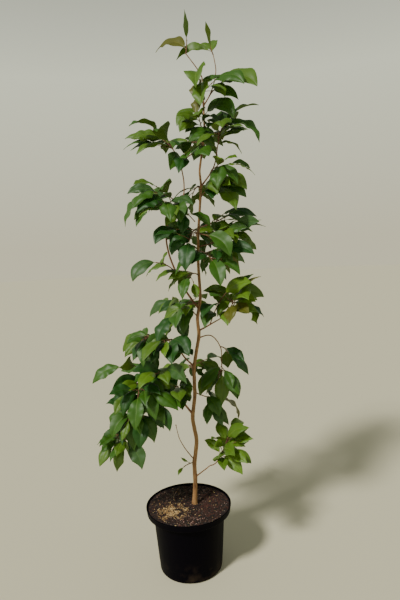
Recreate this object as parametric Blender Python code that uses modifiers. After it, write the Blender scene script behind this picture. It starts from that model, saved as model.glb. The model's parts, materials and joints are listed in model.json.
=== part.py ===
"""A potted stewartia: a slender young tree, about 1.4 m tall, in a black nursery pot.

Metres, +Z up. The origin is the middle of the pot's flat underside, +X is the right and -Y the front.
The trunk and each bough are one tapering limb. Each mass of foliage is one stem with its side twigs
and alternate leaves, joined into one solid that keeps clear of every limb and of every other mass.
"""

import math
import random
from collections import namedtuple

import bmesh
import bpy
from mathutils import Vector
from mathutils.bvhtree import BVHTree

OBJECT_NAME = "potted_stewartia"
UP = Vector((0.0, 0.0, 1.0))
CLEARANCE = 0.0003

# Pot and soil
POT_HEIGHT = 0.174
RIM_RADIUS = 0.1125
LIP_RADIUS = 0.1105
LIP_HEIGHT = 0.017
NECK_RADIUS = 0.0940
SHOULDER_DROP = 0.005
FOOT_RADIUS = 0.0830
FOOT_ROUNDING = 0.004
EDGE_ROUNDING = 0.0012
POT_WALL = 0.0025
SOIL_BELOW_RIM = 0.010
SOIL_TUCK = 0.0002
DRAIN_HOLES = 6
DRAIN_RADIUS = 0.0065
DRAIN_RING_RADIUS = 0.058
TURNED_STEPS = 32

SOIL_TOP = POT_HEIGHT - SOIL_BELOW_RIM

# Trunk, from its flat foot on the soil to its fork
TRUNK_FOOT = Vector((0.016, 0.006, SOIL_TOP + CLEARANCE))
TRUNK_FORK = Vector((0.085, 0.012, 1.212))
TRUNK_BASE_RADIUS = 0.0058
TRUNK_FORK_RADIUS = 0.0021
FLARE_RADIUS = 0.0040
FLARE_HEIGHT = 0.010
FOOT_CUT_HEIGHT = 0.002

# How far the trunk wanders off a straight line, as (height, sideways, depth)
TRUNK_BENDS = (
    (0.230, 0.000, 0.000),
    (0.280, -0.003, 0.002),
    (0.345, 0.001, -0.002),
    (0.402, -0.010, 0.000),
    (0.465, -0.006, 0.002),
    (0.542, -0.009, -0.002),
    (0.620, 0.001, 0.001),
    (0.668, -0.003, -0.002),
    (0.720, 0.003, 0.000),
    (0.808, -0.004, 0.002),
    (0.895, -0.005, -0.002),
    (0.998, -0.001, 0.001),
    (1.040, -0.005, 0.000),
    (1.128, 0.004, -0.001),
)

BoughRow = namedtuple("BoughRow", "name parent at base_radius tip_radius bends")

# Boughs: where each leaves its parent (a height on the trunk, a share of a bough), and what it bends through
BOUGHS = (
    BoughRow("left_leader", "trunk", 1.0, 0.0018, 0.0010,
             ((0.086, 0.010, 1.235), (0.083, 0.006, 1.260), (0.068, 0.000, 1.284), (0.046, -0.005, 1.312))),
    BoughRow("right_leader", "trunk", 0.982, 0.0016, 0.0010,
             ((0.100, 0.020, 1.217), (0.112, 0.022, 1.245), (0.119, 0.020, 1.278), (0.114, 0.016, 1.312))),
    BoughRow("upper_right_bough", "trunk", 0.797, 0.0020, 0.0014,
             ((0.088, 0.002, 1.020), (0.102, -0.012, 1.040), (0.109, -0.020, 1.060))),
    BoughRow("upper_left_bough", "trunk", 0.505, 0.0027, 0.0013,
             ((0.021, -0.008, 0.740), (-0.010, -0.032, 0.815), (-0.020, -0.045, 0.875),
              (-0.008, -0.043, 0.922), (0.026, -0.032, 0.975), (0.026, -0.032, 1.030),
              (0.015, -0.030, 1.070))),
    BoughRow("middle_left_bough", "trunk", 0.361, 0.0023, 0.0013,
             ((0.010, 0.000, 0.567), (-0.005, -0.010, 0.592), (-0.030, -0.022, 0.620),
              (-0.055, -0.030, 0.630))),
    BoughRow("lower_left_bough", "trunk", 0.238, 0.0028, 0.0015,
             ((0.000, 0.000, 0.450), (-0.017, -0.010, 0.490), (-0.050, -0.022, 0.516),
              (-0.105, -0.030, 0.515))),
    BoughRow("lower_left_fork", "lower_left_bough", 0.72, 0.0019, 0.0013,
             ((-0.095, -0.045, 0.492), (-0.125, -0.060, 0.460), (-0.145, -0.062, 0.425))),
    BoughRow("thin_left_twig", "trunk", 0.118, 0.0014, 0.0008,
             ((0.001, -0.003, 0.322), (-0.015, -0.006, 0.355), (-0.022, -0.008, 0.390))),
    BoughRow("lower_right_bough", "trunk", 0.074, 0.0018, 0.0013,
             ((0.040, -0.006, 0.262), (0.062, -0.014, 0.282))),
    BoughRow("middle_right_arc", "trunk", 0.432, 0.0015, 0.0011,
             ((0.072, 0.012, 0.622), (0.090, 0.020, 0.610), (0.104, 0.027, 0.580), (0.104, 0.030, 0.540))),
    BoughRow("middle_right_bough", "trunk", 0.450, 0.0021, 0.0014,
             ((0.066, 0.002, 0.645), (0.085, -0.014, 0.658), (0.102, -0.022, 0.668))),
)

SprayRow = namedtuple("SprayRow", "name parent at tip arch leaves leaf_length hang turn", defaults=(0,))

# Masses of foliage: where the stem starts, where it ends, how far it bows upward, how many leaves it
# carries, how long they are, how far, in degrees, each blade turns down from its root to its tip, and
# how far round the stem its first leaf is turned
SPRAYS = (
    SprayRow("top_left", "left_leader", 0.970, (0.051, -0.008, 1.337), 0.000, 2, 0.115, 75, -65),
    SprayRow("top_right", "right_leader", 1.0, (0.109, 0.013, 1.324), 0.000, 3, 0.105, 55, -70),
    SprayRow("top_long_leaf", "right_leader", 0.20, (0.119, 0.006, 1.232), 0.002, 1, 0.125, 102),
    SprayRow("fork_front", "trunk", 0.968, (0.076, -0.052, 1.238), 0.012, 6, 0.100, 95, 70),
    SprayRow("upper_left_leaf", "trunk", 0.948, (0.081, -0.012, 1.169), 0.002, 6, 0.100, 98),
    SprayRow("upper_right_tip", "upper_right_bough", 1.0, (0.135, -0.024, 1.136), 0.024, 13, 0.094, 80),
    SprayRow("upper_right_low", "upper_right_bough", 0.45, (0.103, -0.080, 1.029), 0.005, 8, 0.078, 68),
    SprayRow("upper_right_inner", "trunk", 0.770, (0.110, -0.045, 0.988), 0.010, 9, 0.094, 70),
    SprayRow("upper_front", "trunk", 0.908, (0.072, -0.055, 1.145), 0.006, 8, 0.069, 75),
    SprayRow("upper_left_tip", "upper_left_bough", 1.0, (-0.012, -0.030, 1.104), 0.004, 6, 0.096, 88),
    SprayRow("upper_left_side", "upper_left_bough", 0.93, (0.048, -0.068, 1.063), 0.004, 7, 0.090, 70),
    SprayRow("left_cluster_outer", "upper_left_bough", 0.70, (-0.049, -0.050, 0.975), 0.014, 11, 0.097, 80),
    SprayRow("left_cluster_inner", "upper_left_bough", 0.60, (-0.012, -0.110, 0.955), 0.012, 8, 0.083, 75),
    SprayRow("left_cluster_near", "upper_left_bough", 0.66, (0.049, -0.080, 0.912), 0.008, 9, 0.076, 70),
    SprayRow("right_pair", "trunk", 0.700, (0.132, 0.030, 0.923), -0.002, 6, 0.083, 78),
    SprayRow("right_upper_middle", "trunk", 0.655, (0.144, -0.040, 0.884), -0.006, 13, 0.076, 55),
    SprayRow("middle_front_left", "trunk", 0.690, (0.036, -0.100, 0.864), 0.014, 11, 0.076, 80),
    SprayRow("middle_front_right", "trunk", 0.622, (0.086, -0.105, 0.820), 0.016, 10, 0.076, 80),
    SprayRow("middle_back", "trunk", 0.668, (0.045, 0.125, 0.880), 0.016, 7, 0.078, 60),
    SprayRow("bright_front", "trunk", 0.585, (0.028, -0.085, 0.780), 0.008, 9, 0.067, 70),
    SprayRow("left_pair", "upper_left_bough", 0.26, (-0.044, -0.056, 0.817), 0.006, 3, 0.078, 75),
    SprayRow("left_below", "trunk", 0.520, (-0.009, -0.052, 0.686), 0.008, 9, 0.081, 65),
    SprayRow("middle_right_tip", "middle_right_bough", 1.0, (0.144, -0.040, 0.721), -0.004, 10, 0.088, 80),
    SprayRow("middle_right_near", "middle_right_bough", 0.50, (0.114, -0.072, 0.734), 0.008, 8, 0.088, 68),
    SprayRow("middle_right_arc_tip", "middle_right_arc", 1.0, (0.104, 0.024, 0.520), 0.000, 10, 0.078, 50),
    SprayRow("middle_right_arc_side", "middle_right_arc", 0.60, (0.121, 0.026, 0.572), 0.005, 3, 0.074, 45),
    SprayRow("lower_right_twig", "trunk", 0.295, (0.099, 0.030, 0.444), -0.004, 6, 0.088, 125),
    SprayRow("lower_right_tip", "lower_right_bough", 1.0, (0.108, -0.030, 0.358), -0.018, 13, 0.072, 66),
    SprayRow("middle_left_tip", "middle_left_bough", 1.0, (-0.089, -0.045, 0.627), 0.006, 11, 0.074, 62),
    SprayRow("middle_left_front", "middle_left_bough", 0.62, (-0.022, -0.085, 0.631), 0.008, 10, 0.081, 68),
    SprayRow("middle_left_inner", "middle_left_bough", 0.36, (0.008, -0.045, 0.614), 0.004, 4, 0.058, 55),
    SprayRow("lower_left_far", "lower_left_bough", 0.80, (-0.144, -0.052, 0.563), 0.018, 3, 0.081, 62),
    SprayRow("lower_left_middle", "lower_left_bough", 0.52, (-0.058, -0.085, 0.552), 0.012, 11, 0.081, 65),
    SprayRow("lower_left_tip", "lower_left_bough", 0.97, (-0.102, -0.110, 0.506), 0.014, 11, 0.078, 68),
    SprayRow("lower_left_outer", "lower_left_fork", 0.680, (-0.122, -0.088, 0.451), 0.014, 11, 0.076, 68),
    SprayRow("lower_left_droop", "lower_left_fork", 1.0, (-0.151, -0.072, 0.381), 0.004, 13, 0.072, 48),
    SprayRow("lower_left_inner", "lower_left_fork", 0.30, (-0.094, -0.096, 0.455), 0.010, 8, 0.074, 60),
    SprayRow("lower_left_near", "lower_left_bough", 0.30, (-0.012, -0.072, 0.511), 0.012, 10, 0.072, 48),
    SprayRow("lower_left_back", "lower_left_bough", 0.60, (-0.090, 0.080, 0.482), 0.020, 11, 0.081, 60),
    SprayRow("foot_shoot", "trunk", 0.112, (-0.004, -0.006, 0.280), 0.002, 2, 0.024, 20),
    SprayRow("lower_back", "trunk", 0.330, (0.016, 0.140, 0.510), 0.016, 11, 0.078, 60),
    SprayRow("middle_back_left", "trunk", 0.485, (-0.032, 0.130, 0.696), 0.016, 9, 0.078, 60),
    SprayRow("middle_back_right", "trunk", 0.630, (0.105, 0.110, 0.806), 0.014, 9, 0.076, 60),
    SprayRow("upper_back", "trunk", 0.790, (0.046, 0.120, 0.985), 0.014, 7, 0.078, 60),
    SprayRow("top_back", "trunk", 0.885, (0.078, 0.090, 1.114), 0.010, 6, 0.072, 60),
)

# Stems and their side twigs
GROWTH_SEED = 1
STEM_BASE_RADIUS = 0.0015
STEM_TIP_RADIUS = 0.0011
STEM_STEPS = 5
LEAVES_BEFORE_TWIGS = 2
LEAVES_FOR_A_TWIG = 4
FIRST_TWIG_SHARE = 0.42
TWIG_STRETCH = 0.30
TWIG_SIDES = 4
TWIG_STEPS = 2
TWIG_SHARE = 0.42
TWIG_OPENING = 48
TWIG_ARCH_SHARE = 0.05
TWIG_RADIUS_SHARE = 0.85

# Where leaves sit on a stem or a twig, and how they leave it
LEAVES_PER_TWIG = 2
STEM_BARE_SHARE = 0.30
TWIG_BARE_SHARE = 0.55
LAST_SIDE_SHARE = 0.94
END_LEAF_SHARE = 0.985
SHARE_SPREAD = 0.03
UPRIGHT_SLOPE = 0.75
SPIRAL_TURN = 137.5
ALTERNATE_TURN = 180.0
TURN_SPREAD = 28
LEAF_OPENING = 52
END_LEAF_OPENING = 8
OPENING_SPREAD = 12
LEAF_LIFT = 0.15
LIFT_SPREAD = 0.15
LEAF_TRIES = 10
TEST_MARGIN = 0.0007

# Which way blades face, at the foot and at the top of the tree
LIGHT_LOW = Vector((-0.25, -0.70, 0.55))
LIGHT_HIGH = Vector((-0.22, -0.45, 0.76))
LIGHT_SPREAD = 0.42
OUTWARD_TURN = 0.35

# Stretches of the trunk, as shares of it, that show between the leaves from a point in front of the tree
TRUNK_SHOWS = ((0.080, 0.545), (0.573, 0.607), (0.655, 0.721), (0.750, 0.869))
FRONT_VIEW = Vector((0.055, -1.26, 0.86))
SIGHT_HALF_WIDTH = 0.004
SIGHT_REACH = 0.20
SIGHT_STEPS = 10

# The shape of a leaf
LEAF_WIDTH_SHARE = 0.45
WIDTH_SPREAD = 0.12
SMALLEST_LEAF = 0.66
LEAF_FOLD = 16
HANG_SPREAD = 18
HANG_LIMIT = 0.92
LEAF_THICKNESS_SHARE = 0.020
PETIOLE_LENGTH = 0.009
PETIOLE_HALF_WIDTH = 0.0007

# Young leaves, still rolled up, stand at the very top
YOUNG_HEIGHT = 1.30
YOUNG_LENGTH = 0.50
YOUNG_WIDTH = 0.34
YOUNG_BEND = 0.20

# Where the blade's sections lie along it, with their share of the full width
BLADE_SECTIONS = ((0.25, 0.88), (0.62, 0.88), (1.0, 0.0))

Limb = namedtuple("Limb", "points radii")
Leaf = namedtuple("Leaf", "root aim light length width bend")
Spray = namedtuple("Spray", "name stem twigs leaves")


def chance(*key):
    """A random stream of its own for each named thing, so that one change leaves the others alone."""
    return random.Random("-".join(str(word) for word in (GROWTH_SEED, *key)))


def smooth_path(points, steps):
    """A smooth curve through the points, with a few steps between each pair."""
    ends = [2 * points[0] - points[1], *points, 2 * points[-1] - points[-2]]
    path = []
    for i in range(1, len(ends) - 2):
        before, start, end, after = ends[i - 1:i + 3]
        for step in range(steps):
            t = step / steps
            path.append(0.5 * (2 * start + (end - before) * t
                               + (2 * before - 5 * start + 4 * end - after) * t * t
                               + (3 * start - before - 3 * end + after) * t ** 3))
    return [*path, points[-1].copy()]


def shares_along(points):
    """How far along the path each point lies, from 0 to 1."""
    reach = [0.0]
    for start, end in zip(points, points[1:]):
        reach.append(reach[-1] + (end - start).length)
    return [length / reach[-1] for length in reach]


def limb_at(limb, share):
    """The place, the heading and the radius of a limb at a share of its length."""
    shares = shares_along(limb.points)
    last = len(shares) - 2
    i = next((k for k in range(last) if share < shares[k + 1]), last)
    t = (share - shares[i]) / (shares[i + 1] - shares[i])
    place = limb.points[i].lerp(limb.points[i + 1], t)
    heading = (limb.points[i + 1] - limb.points[i]).normalized()
    return place, heading, limb.radii[i] + (limb.radii[i + 1] - limb.radii[i]) * t


def tapered(points, base_radius, tip_radius):
    return Limb(points, [base_radius + (tip_radius - base_radius) * s for s in shares_along(points)])


def start_distance(parent_heading, parent_radius, heading, radius, at_tip):
    """How far from the parent's axis a limb's flat root starts, to lie just clear of the parent."""
    along = min(1.0, abs(heading.dot(parent_heading)))
    across = max(0.35, math.sqrt(1.0 - along * along))
    if at_tip:
        return (CLEARANCE + radius * across) / max(0.35, along)
    return (parent_radius + CLEARANCE + radius * along) / across


def trim_start(points, distance):
    """The path with its first stretch, of the given length, cut off."""
    rest = list(points)
    while (rest[1] - rest[0]).length <= distance:
        distance -= (rest[1] - rest[0]).length
        rest.pop(0)
    rest[0] = rest[0] + (rest[1] - rest[0]).normalized() * distance
    return rest


def grow_trunk():
    """A slender, wandering, tapering trunk with a small flare at its foot."""
    lean = TRUNK_FORK - TRUNK_FOOT
    knots = [TRUNK_FOOT, TRUNK_FOOT + UP * FLARE_HEIGHT]
    for height, sideways, depth in TRUNK_BENDS:
        share = (height - TRUNK_FOOT.z) / lean.z
        knots.append(TRUNK_FOOT + lean * share + Vector((sideways, depth, 0.0)))
    points = smooth_path([*knots, TRUNK_FORK], 2)
    points.insert(1, TRUNK_FOOT + UP * FOOT_CUT_HEIGHT)
    limb = tapered(points, TRUNK_BASE_RADIUS, TRUNK_FORK_RADIUS)
    flare = [FLARE_RADIUS * math.exp(-(p.z - TRUNK_FOOT.z) / FLARE_HEIGHT) for p in points]
    return Limb(points, [radius + extra for radius, extra in zip(limb.radii, flare)])


def grow_from(parent, at, points, base_radius, tip_radius):
    """A tapering limb through the points, started just clear of its parent."""
    place, heading, radius = limb_at(parent, at)
    path = [place, *points]
    first = (path[1] - path[0]).normalized()
    gap = start_distance(heading, radius, first, base_radius, at >= 1.0)
    return tapered(trim_start(path, gap), base_radius, tip_radius)


def grow_boughs(limbs):
    for row in BOUGHS:
        parent = limbs[row.parent]
        place = limb_at(parent, row.at)[0]
        path = smooth_path([place, *map(Vector, row.bends)], 2)
        limbs[row.name] = grow_from(parent, row.at, path[1:], row.base_radius, row.tip_radius)


def bowed_path(start, end, arch, steps):
    """A path from start to end that bows upward by arch at its middle."""
    middle = (start + end) / 2 + UP * 2 * arch
    shares = [step / steps for step in range(steps + 1)]
    return [start * (1 - t) ** 2 + middle * 2 * t * (1 - t) + end * t * t for t in shares]


def sideways_from(heading):
    """A level direction square to the heading."""
    level = heading.cross(UP)
    return level.normalized() if level.length > 0.2 else heading.cross(Vector((0.0, 1.0, 0.0))).normalized()


def grow_twigs(row, stem, obstacles):
    """Side twigs on alternate sides of a stem, left out where one would touch something."""
    count = max(0, (row.leaves - LEAVES_BEFORE_TWIGS) // LEAVES_FOR_A_TWIG)
    reach = (stem.points[-1] - stem.points[0]).length * TWIG_SHARE
    twigs = []
    for i in range(count):
        luck = chance(row.name, "twig", i)
        share = FIRST_TWIG_SHARE + TWIG_STRETCH * i / max(1, count - 1) + luck.uniform(-0.04, 0.04)
        place, heading, radius = limb_at(stem, share)
        side = sideways_from(heading) * (1 if (i + row.leaves) % 2 else -1)
        opening = math.radians(TWIG_OPENING + luck.uniform(-8, 8))
        aim = heading * math.cos(opening) + side * math.sin(opening) + UP * luck.uniform(-0.1, 0.25)
        end = place + aim.normalized() * reach * luck.uniform(0.85, 1.15)
        path = bowed_path(place, end, TWIG_ARCH_SHARE * reach, TWIG_STEPS)
        twig = tapered(path, radius * TWIG_RADIUS_SHARE, STEM_TIP_RADIUS * TWIG_RADIUS_SHARE)
        tree = test_tree(twig_solid(twig, TWIG_SIDES, TEST_MARGIN))
        if not any(owner is not stem and tree.overlap(other) for owner, other in obstacles):
            obstacles.append((twig, tree))
            twigs.append(twig)
    return twigs


def leaf_on(row, limb, share, index, last, luck):
    """One leaf: alternate on a level twig, in a spiral on an upright one, and in line at the tip."""
    place, heading, _ = limb_at(limb, share)
    step = SPIRAL_TURN if abs(heading.z) > UPRIGHT_SLOPE else ALTERNATE_TURN
    turn = math.radians(row.turn + index * step + luck.uniform(-TURN_SPREAD, TURN_SPREAD))
    side = sideways_from(heading)
    outward = side * math.cos(turn) + heading.cross(side) * math.sin(turn)
    opening = END_LEAF_OPENING if last else LEAF_OPENING
    opening = math.radians(opening + luck.uniform(-OPENING_SPREAD, OPENING_SPREAD))
    aim = heading * math.cos(opening) + outward * math.sin(opening)
    aim = (aim + UP * (LEAF_LIFT + luck.uniform(-LIFT_SPREAD, LIFT_SPREAD))).normalized()
    light = LIGHT_LOW.lerp(LIGHT_HIGH, place.z / TRUNK_FORK.z)
    light = light + Vector([luck.uniform(-LIGHT_SPREAD, LIGHT_SPREAD) for _ in range(3)])
    light = light + Vector((heading.x, heading.y, 0.0)) * OUTWARD_TURN
    length = row.leaf_length * luck.uniform(SMALLEST_LEAF, 1.0) if not last else row.leaf_length
    width = length * LEAF_WIDTH_SHARE * luck.uniform(1.0 - WIDTH_SPREAD, 1.0 + WIDTH_SPREAD)
    room = math.pi - aim.angle(UP)
    bend = min(math.radians(row.hang + luck.uniform(-HANG_SPREAD, HANG_SPREAD)), HANG_LIMIT * room)
    if last and place.z > YOUNG_HEIGHT:
        length *= YOUNG_LENGTH
        width *= YOUNG_WIDTH
        bend *= YOUNG_BEND
    return Leaf(place, aim, light.normalized(), length, width, bend)


def blade_at(leaf, share):
    """The place and the frame of a leaf's midrib at a share of its blade, which hangs and faces the light."""
    down = (leaf.aim * leaf.aim.z - UP).normalized()
    place = leaf.root + leaf.aim * PETIOLE_LENGTH
    steps = 6
    for step in range(steps):
        angle = leaf.bend * share * (step + 0.5) / steps
        place += (leaf.aim * math.cos(angle) + down * math.sin(angle)) * leaf.length * share / steps
    angle = leaf.bend * share
    heading = leaf.aim * math.cos(angle) + down * math.sin(angle)
    normal = (leaf.light - heading * leaf.light.dot(heading)).normalized()
    return place, heading.cross(normal), normal


def leaf_solid(leaf, margin=0.0):
    """A bent, folded blade with its stalk, as points and faces. A margin makes it fatter all round."""
    fold = math.radians(LEAF_FOLD)
    thickness = leaf.length * LEAF_THICKNESS_SHARE / 2 + margin
    stalk = PETIOLE_HALF_WIDTH + margin
    _, side, normal = blade_at(leaf, 0.0)
    sections = [(leaf.root, side, normal, stalk, stalk, 0.0)]
    for share, width_share in BLADE_SECTIONS[:-1]:
        place, side, normal = blade_at(leaf, share)
        half_width = leaf.width / 2 * width_share + margin
        sections.append((place, side, normal, half_width, thickness, fold))
    points = []
    for place, side, normal, half_width, half_thickness, rise in sections:
        out = side * half_width * math.cos(rise)
        up = normal * half_width * math.sin(rise)
        thick = normal * half_thickness
        points += [place + out + up, place - thick, place - out + up, place + thick]
    points.append(blade_at(leaf, 1.0 + margin / leaf.length)[0])
    tip = len(points) - 1
    rings = [range(4 * k, 4 * k + 4) for k in range(len(sections))]
    faces = [tuple(reversed(rings[0]))]
    for ring, after in zip(rings, rings[1:]):
        faces += [(ring[i], ring[(i + 1) % 4], after[(i + 1) % 4], after[i]) for i in range(4)]
    faces += [(rings[-1][i], rings[-1][(i + 1) % 4], tip) for i in range(4)]
    return points, faces


def twig_solid(limb, sides, margin=0.0):
    """A tapering tube with flat ends, as points and faces."""
    points, faces = [], []
    across = sideways_from(limb.points[1] - limb.points[0])
    count = len(limb.points)
    for i, (place, radius) in enumerate(zip(limb.points, limb.radii)):
        heading = (limb.points[min(i + 1, count - 1)] - limb.points[max(i - 1, 0)]).normalized()
        across = (across - heading * across.dot(heading)).normalized()
        other = heading.cross(across)
        for k in range(sides):
            angle = math.tau * k / sides
            points.append(place + (across * math.cos(angle) + other * math.sin(angle)) * (radius + margin))
    for i in range(count - 1):
        a, b = i * sides, (i + 1) * sides
        faces += [(a + k, a + (k + 1) % sides, b + (k + 1) % sides, b + k) for k in range(sides)]
    end = (count - 1) * sides
    return points, [tuple(reversed(range(sides))), *faces, tuple(range(end, end + sides))]


def test_tree(solid):
    points, faces = solid
    return BVHTree.FromPolygons(points, faces)


def sight_curtain(trunk, low, high):
    """Two thin sheets from the trunk's sides towards the front, between which no leaf may grow."""
    points, faces = [], []
    for i in range(SIGHT_STEPS + 1):
        place = limb_at(trunk, low + (high - low) * i / SIGHT_STEPS)[0]
        for shift in (-SIGHT_HALF_WIDTH, SIGHT_HALF_WIDTH):
            start = place + Vector((shift, 0.0, 0.0))
            points += [start, start.lerp(FRONT_VIEW, SIGHT_REACH)]
    for a in range(0, 4 * SIGHT_STEPS, 4):
        faces += [(a, a + 1, a + 5, a + 4), (a + 2, a + 3, a + 7, a + 6)]
    return points, faces


def grow_leaves(row, stem, twigs, obstacles):
    """A stem's leaves, each tried a few ways, and left out where it would touch something."""
    carriers = [(twig, LEAVES_PER_TWIG, TWIG_BARE_SHARE) for twig in twigs]
    on_stem = row.leaves - LEAVES_PER_TWIG * len(twigs)
    carriers.insert(0, (stem, on_stem, STEM_BARE_SHARE))
    leaves = []
    for c, (limb, count, bare) in enumerate(carriers):
        for i in range(count):
            last = i == count - 1
            for attempt in range(LEAF_TRIES):
                luck = chance(row.name, "leaf", c, i, attempt)
                share = END_LEAF_SHARE
                if not last:
                    share = bare + (LAST_SIDE_SHARE - bare) * i / (count - 1)
                    share += luck.uniform(-SHARE_SPREAD, SHARE_SPREAD)
                leaf = leaf_on(row, limb, share, i, last, luck)
                tree = test_tree(leaf_solid(leaf, TEST_MARGIN))
                if not any(limb is not owner and tree.overlap(other) for owner, other in obstacles):
                    obstacles.append((leaf, tree))
                    leaves.append(leaf)
                    break
    return leaves


def grow_plant():
    """Every limb by its name, and every mass of foliage with its stem, twigs and leaves."""
    limbs = {"trunk": grow_trunk()}
    grow_boughs(limbs)
    obstacles = [(limb, test_tree(twig_solid(limb, 8, TEST_MARGIN))) for limb in limbs.values()]
    stems = []
    for row in SPRAYS:
        parent = limbs[row.parent]
        path = bowed_path(limb_at(parent, row.at)[0], Vector(row.tip), row.arch, STEM_STEPS)
        stems.append(grow_from(parent, row.at, path[1:], STEM_BASE_RADIUS, STEM_TIP_RADIUS))
    obstacles += [(stem, test_tree(twig_solid(stem, 4, TEST_MARGIN))) for stem in stems]
    frames = [(row, stem, grow_twigs(row, stem, obstacles)) for row, stem in zip(SPRAYS, stems)]
    obstacles += [("sight", test_tree(sight_curtain(limbs["trunk"], *shares))) for shares in TRUNK_SHOWS]
    return limbs, [Spray(row.name, stem, twigs, grow_leaves(row, stem, twigs, obstacles))
                   for row, stem, twigs in frames]


LEAF_GREENS = ((0.050, 0.150, 0.022), (0.075, 0.200, 0.025), (0.035, 0.110, 0.022))


def clear_scene():
    for old in list(bpy.data.objects):
        bpy.data.objects.remove(old, do_unlink=True)


def new_collection(name, parent):
    made = bpy.data.collections.new(name)
    parent.children.link(made)
    return made


def plain_material(name, colour, roughness):
    material = bpy.data.materials.new(name)
    material.use_nodes = True
    shader = material.node_tree.nodes["Principled BSDF"]
    shader.inputs["Base Color"].default_value = (*colour, 1.0)
    shader.inputs["Roughness"].default_value = roughness
    shader.inputs["Metallic"].default_value = 0.0
    material.diffuse_color = (*colour, 1.0)
    return material


def mesh_object(name, points, faces, collection):
    mesh = bpy.data.meshes.new(name)
    mesh.from_pydata(points, [], faces)
    made = bpy.data.objects.new(name, mesh)
    collection.objects.link(made)
    return made


def turned(name, profile, collection, material):
    """A turned solid from a half profile of (radius, height) points, outer side first, top to bottom."""
    mesh = bpy.data.meshes.new(name)
    mesh.from_pydata([(radius, 0.0, height) for radius, height in profile],
                     [(i, i + 1) for i in range(len(profile) - 1)], [])
    made = bpy.data.objects.new(name, mesh)
    collection.objects.link(made)
    screw = made.modifiers.new("Turn", "SCREW")
    screw.axis = "Z"
    screw.angle = math.tau
    screw.steps = screw.render_steps = TURNED_STEPS
    screw.use_merge_vertices = True
    screw.merge_threshold = 0.00001
    made.data.materials.append(material)
    return made


def wall_radius(height):
    """The pot's outer radius between its foot and its neck."""
    neck_height = POT_HEIGHT - LIP_HEIGHT - SHOULDER_DROP
    return FOOT_RADIUS + (NECK_RADIUS - FOOT_RADIUS) * height / neck_height


def make_pot(collection, cutters):
    lip_bottom = POT_HEIGHT - LIP_HEIGHT
    neck = lip_bottom - SHOULDER_DROP
    outside = [
        (RIM_RADIUS - EDGE_ROUNDING, POT_HEIGHT),
        (RIM_RADIUS, POT_HEIGHT - EDGE_ROUNDING),
        (LIP_RADIUS, lip_bottom),
        (NECK_RADIUS, neck),
        (wall_radius(FOOT_ROUNDING), FOOT_ROUNDING),
        (FOOT_RADIUS - EDGE_ROUNDING, EDGE_ROUNDING),
        (FOOT_RADIUS - FOOT_ROUNDING, 0.0),
        (0.0, 0.0),
    ]
    inside = [
        (0.0, POT_WALL),
        (FOOT_RADIUS - FOOT_ROUNDING, POT_WALL),
        (wall_radius(FOOT_ROUNDING * 2) - POT_WALL, FOOT_ROUNDING * 2),
        (NECK_RADIUS - POT_WALL, neck),
        (LIP_RADIUS - POT_WALL, lip_bottom),
        (RIM_RADIUS - POT_WALL, POT_HEIGHT),
    ]
    pot = turned("pot", [*outside, *inside, outside[0]], collection,
                 plain_material("black_pot_plastic", (0.012, 0.012, 0.013), 0.42))
    holes = new_collection("drain_hole_cutters", cutters)
    for i in range(DRAIN_HOLES):
        angle = math.tau * i / DRAIN_HOLES
        bpy.ops.mesh.primitive_cylinder_add(
            vertices=12, radius=DRAIN_RADIUS, depth=POT_WALL * 4,
            location=(DRAIN_RING_RADIUS * math.cos(angle), DRAIN_RING_RADIUS * math.sin(angle), POT_WALL / 2))
        cutter = bpy.context.object
        cutter.name = f"drain_hole_{i + 1}"
        for old in list(cutter.users_collection):
            old.objects.unlink(cutter)
        holes.objects.link(cutter)
        cutter.hide_render = True
        cutter.display_type = "WIRE"
    drain = pot.modifiers.new("Drain holes", "BOOLEAN")
    drain.operation = "DIFFERENCE"
    drain.operand_type = "COLLECTION"
    drain.collection = holes
    drain.solver = "EXACT"
    return pot


def make_soil(collection):
    lip_bottom = POT_HEIGHT - LIP_HEIGHT
    neck = lip_bottom - SHOULDER_DROP
    inset = POT_WALL + CLEARANCE * 1.5
    floor = POT_WALL + CLEARANCE
    top_radius = LIP_RADIUS + (RIM_RADIUS - LIP_RADIUS) * (SOIL_TOP - lip_bottom) / LIP_HEIGHT - inset
    profile = [
        (0.0, SOIL_TOP),
        (top_radius, SOIL_TOP),
        (LIP_RADIUS - inset - CLEARANCE, lip_bottom + SOIL_TUCK),
        (NECK_RADIUS - inset - CLEARANCE, neck + SOIL_TUCK),
        (wall_radius(FOOT_ROUNDING * 2) - inset, FOOT_ROUNDING * 2 + CLEARANCE),
        (FOOT_RADIUS - FOOT_ROUNDING - CLEARANCE, floor),
        (0.0, floor),
    ]
    return turned("soil", profile, collection, plain_material("potting_soil", (0.075, 0.045, 0.028), 0.95))


def make_limb(name, limb, sides, collection, material):
    """A trunk or bough as a bevelled curve whose point radii carry the taper."""
    curve = bpy.data.curves.new(name, "CURVE")
    curve.dimensions = "3D"
    curve.bevel_depth = max(limb.radii)
    curve.bevel_resolution = sides // 2 - 2
    curve.use_fill_caps = True
    spline = curve.splines.new("POLY")
    spline.points.add(len(limb.points) - 1)
    for point, place, radius in zip(spline.points, limb.points, limb.radii):
        point.co = (*place, 1.0)
        point.radius = radius / curve.bevel_depth
    made = bpy.data.objects.new(name, curve)
    collection.objects.link(made)
    curve.materials.append(material)
    return made


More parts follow.
